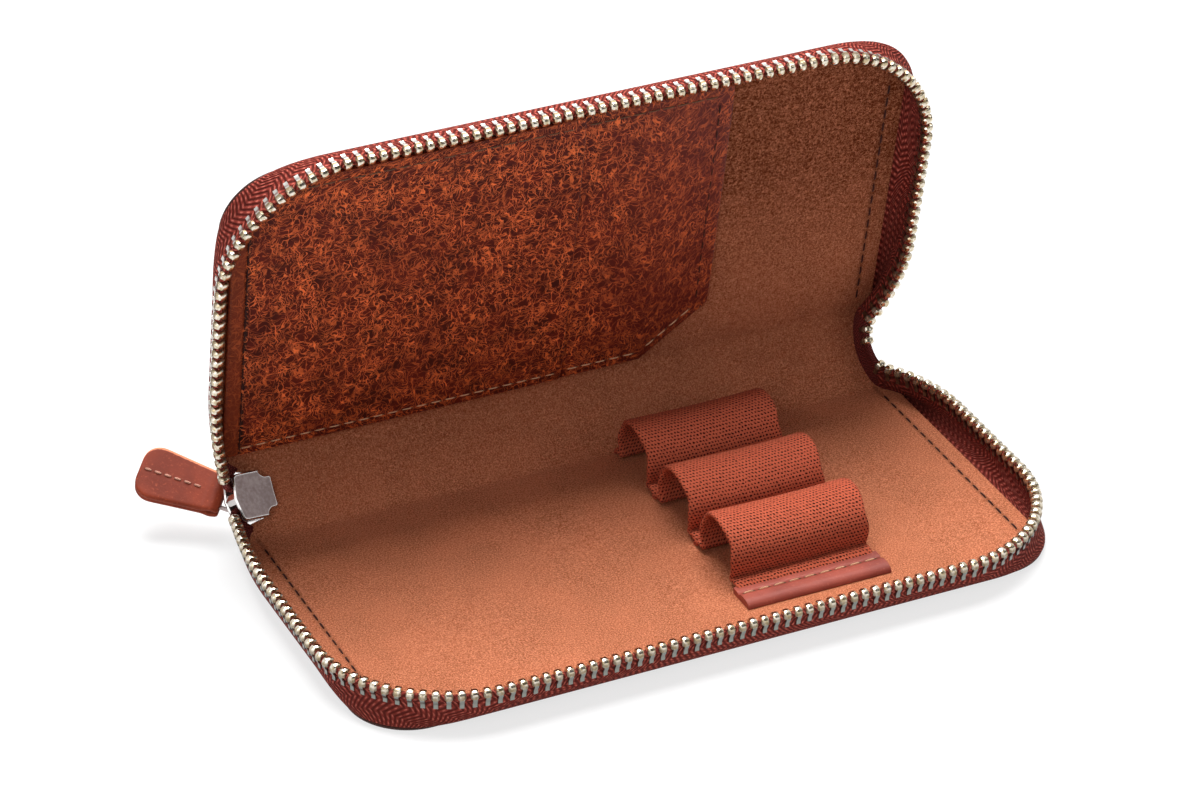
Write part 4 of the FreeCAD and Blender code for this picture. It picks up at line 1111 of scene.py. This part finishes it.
def tab_layers(length=17.5, width=10.6, neck=7.6, end_round=3.6, thickness=1.16):
    """The tab's two layers, which lie together, part round the link's bar and meet past it: rows go
    from its rounded end to the fold, columns across."""
    start = bar_x + link_wire / 2 + 0.65
    past = eased(44)[:, None] * length
    x = start - length + past
    narrowed = 1 - (1 - neck / width) * np.clip((past - 4) / (length - 4), 0, 1)
    half = (width / 2 - end_round * (1 - quarter(past / end_round))) * narrowed
    apart = 0.64 + 0.62 * np.exp(-((x - bar_x) / 1.2) ** 2)
    return [sheet(stack(x, side * apart, half * np.linspace(-1, 1, 25)[None]),
                  thickness / 2 * quarter(past / 0.6), "Tblr") for side in (-1, 1)]


tab_leather = finish("tab_leather", hide_look(rgb(104, 38, 20), rgb(130, 52, 30), rgb(184, 90, 54),
                                              rgb(214, 126, 90), 0.6, 0.8), Specular_IOR_Level=0.15)
layers = tab_layers()
piece("tab_hide", [at_pull(part) for part in layers], tab_leather, "pull", "pull_leather", ["pull_tab"],
      [measure(part[..., ::-1, :])[..., ::-1, :] for part in layers])
template = stitch_template(1.6, 0.24)
stitches = []
for side in (-1, 1):
    one = stack(template[..., 0], side * (template[..., 2] + 1.3), template[..., 1])
    stitches.append(np.stack([one + (bar_x - 4.1 - 2.1 * number, 0, 0) for number in range(6)]))
tab_thread = thread("tab_thread", rgb(160, 100, 84), rgb(214, 164, 140), 0.95)
piece("tab_stitching", [at_pull(part) for part in stitches], tab_thread, "pull", "light_thread",
      ["pull_tab_stitches"])

# Tape ends: the zip's bare ends are held between the spine's leather and its suede. The left one comes
# out there under the slider, and each half's tape runs from beside it into its mouth of the slider.
def end_tape(left, right, low, high, off, bow):
    """A flat length of tape on the spine between two x and two heights up it. It lies off the fold
    axes by off, and by bow more at its right end."""
    share, up = np.linspace(0, 1, 16)[:, None], np.linspace(low, high, 12)[None]
    return tray_axis + stack(mix(share, left, right), 0.0, 0.0) + up[..., None] * along_spine \
        + (off + bow * share)[..., None] * off_spine


for side, *place in (("right", 57.0, 65.5, 3.6, 13.9, 0.25, 0.0),
                     ("left", -67.5, -57.0, 7.4, 11.0, 1.0, -0.75)):
    piece("tape_end_" + side, [sheet(end_tape(*place), 0.25, "TBLR")], twill, "spine", "zip_tape",
          ["spine_tape_" + side])
for half, up_way, teeth_at in (("tray", 1, [3.2]), ("lid", -1, [2.0])):
    mouth, inside = at_slider(np.array([[-3.3, 0.0, -2.25 * up_way], [0.0, 0.0, -2.25 * up_way]]))
    root = on_spine(-69.6, slider_along_spine - 6.7 * up_way, 0.3)
    bridge(half, "left", mouth, up_way * along_spine, root, unit(inside - mouth), teeth_at)
